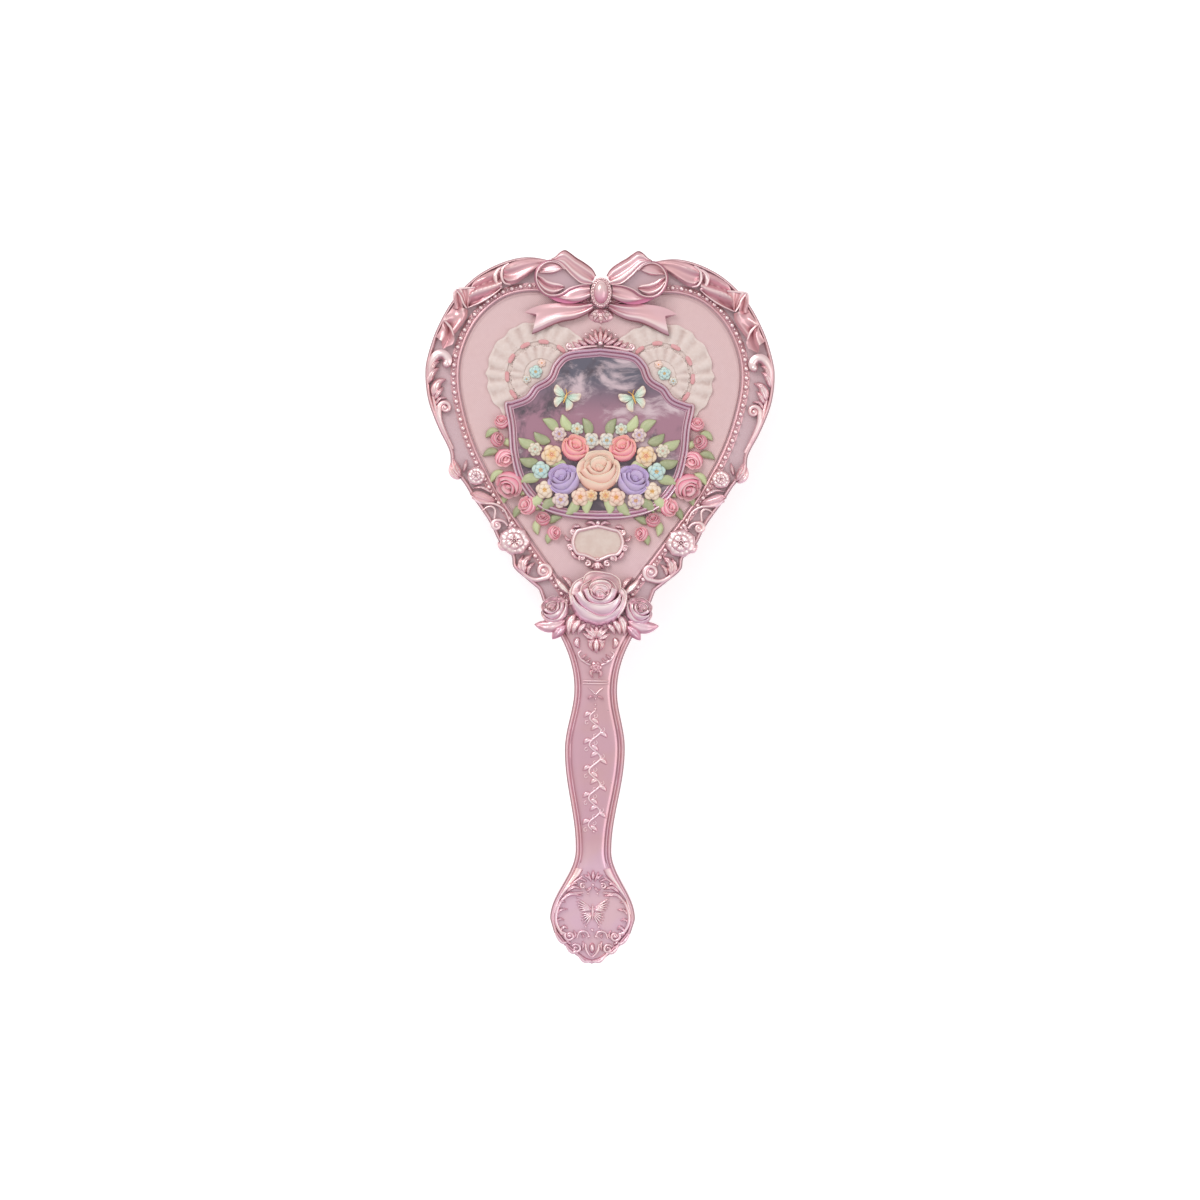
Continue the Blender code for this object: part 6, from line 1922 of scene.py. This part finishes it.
class BrushColours(bpy.types.PropertyGroup):
    """Colours of the plating, paints, pearls and rubber"""

    plating: tint("Plating", "Pink plating of the body and relief", (0.78, 0.485, 0.52))
    # Painted highlight on the relief's crests; the same colour makes the pins' ball tips paler.
    crest: tint("Crest", "Plating on raised edges", (0.95, 0.80, 0.79))
    # Painted shade in the hollows of the relief and round the jewel's edge; also the specks of the stippled
    # field.
    hollow_shade_and_speck: tint("Hollow", "Plating in the hollows of the relief", (0.42, 0.18, 0.21))
    # Cool painted shade on the slopes that face the handle.
    cast: tint("Cast", "Cool cast of the slopes that face the handle", (0.68, 0.40, 0.55))
    field: tint("Field", "Matte ground of the frame", (0.60, 0.45, 0.48))
    panel: tint("Panel", "Heart panel", (0.685, 0.49, 0.495))
    lace: tint("Lace", "Moulded lace", (0.68, 0.56, 0.515))
    ribbon: tint("Ribbon", "Ribbon threaded through the lace", (0.66, 0.30, 0.31))
    rose_heart: tint("Rose heart", "Painted roses, inside", (0.85, 0.24, 0.36))
    rose_edge: tint("Rose edge", "Painted roses, lips", (0.98, 0.67, 0.70))
    leaf: tint("Leaf", "Painted leaves", (0.40, 0.45, 0.25))
    cream: tint("Cream", "Cream paint", (0.82, 0.68, 0.54))
    lilac: tint("Lilac", "Lilac paint", (0.52, 0.40, 0.66))
    peach: tint("Peach", "Peach paint", (0.84, 0.46, 0.38))
    gold: tint("Gold", "Golden paint", (0.78, 0.44, 0.10))
    mint: tint("Mint", "Mint paint", (0.56, 0.72, 0.62))
    sky: tint("Sky", "Pale blue paint", (0.38, 0.62, 0.72))
    label: tint("Label", "Bare label", (0.67, 0.55, 0.49))
    # The plate's colours paint a reflection on its polished face: grey above, lilac in the middle, dark pools
    # and pale clouds.
    reflection_dark: tint("Plate dark", "Dark clouds of the plate", (0.10, 0.075, 0.095))
    reflection_lilac: tint("Plate lilac", "Lilac clouds of the plate", (0.40, 0.205, 0.27))
    reflection_grey: tint("Plate grey", "Grey of the plate's upper part", (0.13, 0.12, 0.16))
    reflection_pale: tint("Plate pale", "Pale clouds of the plate", (0.66, 0.51, 0.55))
    pearl: tint("Pearl", "Jewel and pearls", (0.75, 0.54, 0.53))
    rubber: tint("Rubber", "Cushion", (0.62, 0.36, 0.41))
    nylon: tint("Nylon", "Pins", (0.80, 0.66, 0.67))


class BrushTrim(bpy.types.PropertyGroup):
    """Sizes of the rim, ridges and beads"""

    rim_width: length("Rim width", "Width of the raised rim", 1.45)
    ridge_height: length("Ridge height", "Height of the handle's border ridges", 0.4)
    field_drop: length("Field drop", "Depth of the frame's ground below the panel", 0.2)
    bead_radius: length("Bead radius", "Radius of the large beads", 0.95)
    bead_pitch: length("Bead pitch", "Step from one large bead to the next", 3.1)


class BrushPins(bpy.types.PropertyGroup):
    """Sizes and step of the pins"""

    pitch: length("Pitch", "Step from one pin to the next", 4.0)
    shaft: length("Shaft", "Radius of a pin", 0.52)
    ball: length("Ball", "Radius of a pin's ball tip", 0.85)
    collar: length("Collar", "Radius of the rubber collar at a pin's root", 1.25)


def metres(name, about, value):
    """A distance to set, given in metres, to either side of 0."""
    return FloatProperty(name=name, description=about, default=value, unit="LENGTH", precision=5)


class BrushStage(bpy.types.PropertyGroup):
    """The camera, the lamps and the floor"""

    distance: metres("Distance", "From the camera to the panel", 1.5)
    frame_width: metres("Frame width", "What the picture shows across", 0.4028)
    aim_x: metres("Aim X", "Middle of the picture", 0.00104)
    aim_y: metres("Aim Y", "Middle of the picture", 0.00218)
    roll: FloatProperty(name="Roll", description="Turn of the camera", default=0.0138, subtype="ANGLE")
    key: FloatProperty(name="Key", description="Power of the key lamp", default=7.0, unit="POWER")
    fill: FloatProperty(name="Fill", description="Power of the fill lamp", default=3.0, unit="POWER")
    sky: FloatProperty(name="Sky", description="Strength of the sky", default=0.78)
    floor_glow: FloatProperty(name="Floor glow", description="Light added to the floor in view", default=0.42)


# Operators


class BRUSH_OT_stage(bpy.types.Operator):
    """Set the floor, sky, lamps and camera"""

    bl_idname = "brush.stage"
    bl_label = "Stage"

    def execute(self, context):
        make_stage(context.scene.brush_stage)
        return {"FINISHED"}


class BRUSH_OT_shells(bpy.types.Operator):
    """Build the rimmed back with its ridged handle, the stippled field and the smooth front"""

    bl_idname = "brush.shells"
    bl_label = "Shells"

    def execute(self, context):
        make_shells(context.scene.brush_trim)
        return {"FINISHED"}


class BRUSH_OT_cushion(bpy.types.Operator):
    """Build the rubber cushion"""

    bl_idname = "brush.cushion"
    bl_label = "Cushion"

    def execute(self, context):
        make_cushion()
        return {"FINISHED"}


class BRUSH_OT_pins(bpy.types.Operator):
    """Build the ball-tipped pins"""

    bl_idname = "brush.pins"
    bl_label = "Pins"

    def execute(self, context):
        make_pins(context.scene.brush_pins)
        return {"FINISHED"}


class BRUSH_OT_panel(bpy.types.Operator):
    """Build the heart panel and its bead border"""

    bl_idname = "brush.panel"
    bl_label = "Panel and beads"

    def execute(self, context):
        make_panel()
        make_beads(context.scene.brush_trim)
        return {"FINISHED"}


class BRUSH_OT_bow(bpy.types.Operator):
    """Build the bow, its jewel and its pearls"""

    bl_idname = "brush.bow"
    bl_label = "Bow"

    def execute(self, context):
        make_bow(context.scene.brush_trim)
        return {"FINISHED"}


class BRUSH_OT_swags(bpy.types.Operator):
    """Build the ribbon swags"""

    bl_idname = "brush.swags"
    bl_label = "Swags"

    def execute(self, context):
        make_swags(context.scene.brush_trim)
        return {"FINISHED"}


class BRUSH_OT_scrolls(bpy.types.Operator):
    """Build the scrolls and flowers of the frame"""

    bl_idname = "brush.scrolls"
    bl_label = "Scrolls and flowers"

    def execute(self, context):
        make_scrolls(context.scene.brush_trim)
        make_flowers(context.scene.brush_trim)
        return {"FINISHED"}


class BRUSH_OT_roses(bpy.types.Operator):
    """Build the roses, leaves and drop at the neck"""

    bl_idname = "brush.roses"
    bl_label = "Neck roses"

    def execute(self, context):
        make_roses(context.scene.brush_trim)
        return {"FINISHED"}


class BRUSH_OT_vine(bpy.types.Operator):
    """Build the vine on the handle"""

    bl_idname = "brush.vine"
    bl_label = "Handle vine"

    def execute(self, context):
        make_vine()
        return {"FINISHED"}


class BRUSH_OT_plaque(bpy.types.Operator):
    """Build the plaque, its crest, the lace behind it and the label below"""

    bl_idname = "brush.plaque"
    bl_label = "Plaque and label"

    def execute(self, context):
        make_plaque()
        make_lace(context.scene.brush_colours)
        make_label()
        return {"FINISHED"}


class BRUSH_OT_garlands(bpy.types.Operator):
    """Build the rose garlands"""

    bl_idname = "brush.garlands"
    bl_label = "Garlands"

    def execute(self, context):
        make_garlands(context.scene.brush_colours)
        return {"FINISHED"}


class BRUSH_OT_posy(bpy.types.Operator):
    """Build the posy on the plaque"""

    bl_idname = "brush.posy"
    bl_label = "Posy"

    def execute(self, context):
        make_posy(context.scene.brush_colours)
        return {"FINISHED"}


class BRUSH_OT_pommel(bpy.types.Operator):
    """Build the pommel's cartouche and butterfly"""

    bl_idname = "brush.pommel"
    bl_label = "Pommel"

    def execute(self, context):
        make_pommel()
        return {"FINISHED"}


class BRUSH_OT_screws(bpy.types.Operator):
    """Give the screws under the cushion their steel"""

    bl_idname = "brush.screws"
    bl_label = "Screws"

    def execute(self, context):
        for node in ("shell_screw_left", "shell_screw_right", "shell_screw_lower"):
            screw = frame["nodes"][node]
            screw.data.materials.clear()
            screw.data.materials.append(finish("steel"))
        return {"FINISHED"}


STEPS = (
    BRUSH_OT_stage, BRUSH_OT_shells, BRUSH_OT_cushion, BRUSH_OT_pins, BRUSH_OT_panel, BRUSH_OT_bow,
    BRUSH_OT_swags, BRUSH_OT_scrolls, BRUSH_OT_roses, BRUSH_OT_vine, BRUSH_OT_plaque, BRUSH_OT_garlands,
    BRUSH_OT_posy, BRUSH_OT_pommel, BRUSH_OT_screws,
)


class VIEW3D_PT_brush(bpy.types.Panel):
    """Steps that build the brush, in order"""

    bl_label = "Vanity Hairbrush"
    bl_space_type = "VIEW_3D"
    bl_region_type = "UI"
    bl_category = "Brush"

    def draw(self, context):
        for step in STEPS:
            self.layout.operator(step.bl_idname)


GROUPS = {
    "brush_colours": BrushColours, "brush_trim": BrushTrim, "brush_pins": BrushPins,
    "brush_stage": BrushStage,
}


def register():
    """Adds the settings, steps and panel."""
    for made in (*GROUPS.values(), *STEPS, VIEW3D_PT_brush):
        bpy.utils.register_class(made)
    for name, group in GROUPS.items():
        setattr(bpy.types.Scene, name, PointerProperty(type=group))


def unregister():
    """Takes the settings, steps and panel away."""
    for name in GROUPS:
        delattr(bpy.types.Scene, name)
    for made in (VIEW3D_PT_brush, *STEPS[::-1], *GROUPS.values()):
        bpy.utils.unregister_class(made)


def main():
    """Runs every step in order."""
    register()
    for step in STEPS:
        area, name = step.bl_idname.split(".")
        getattr(getattr(bpy.ops, area), name)()


if __name__ == "__main__":
    main()
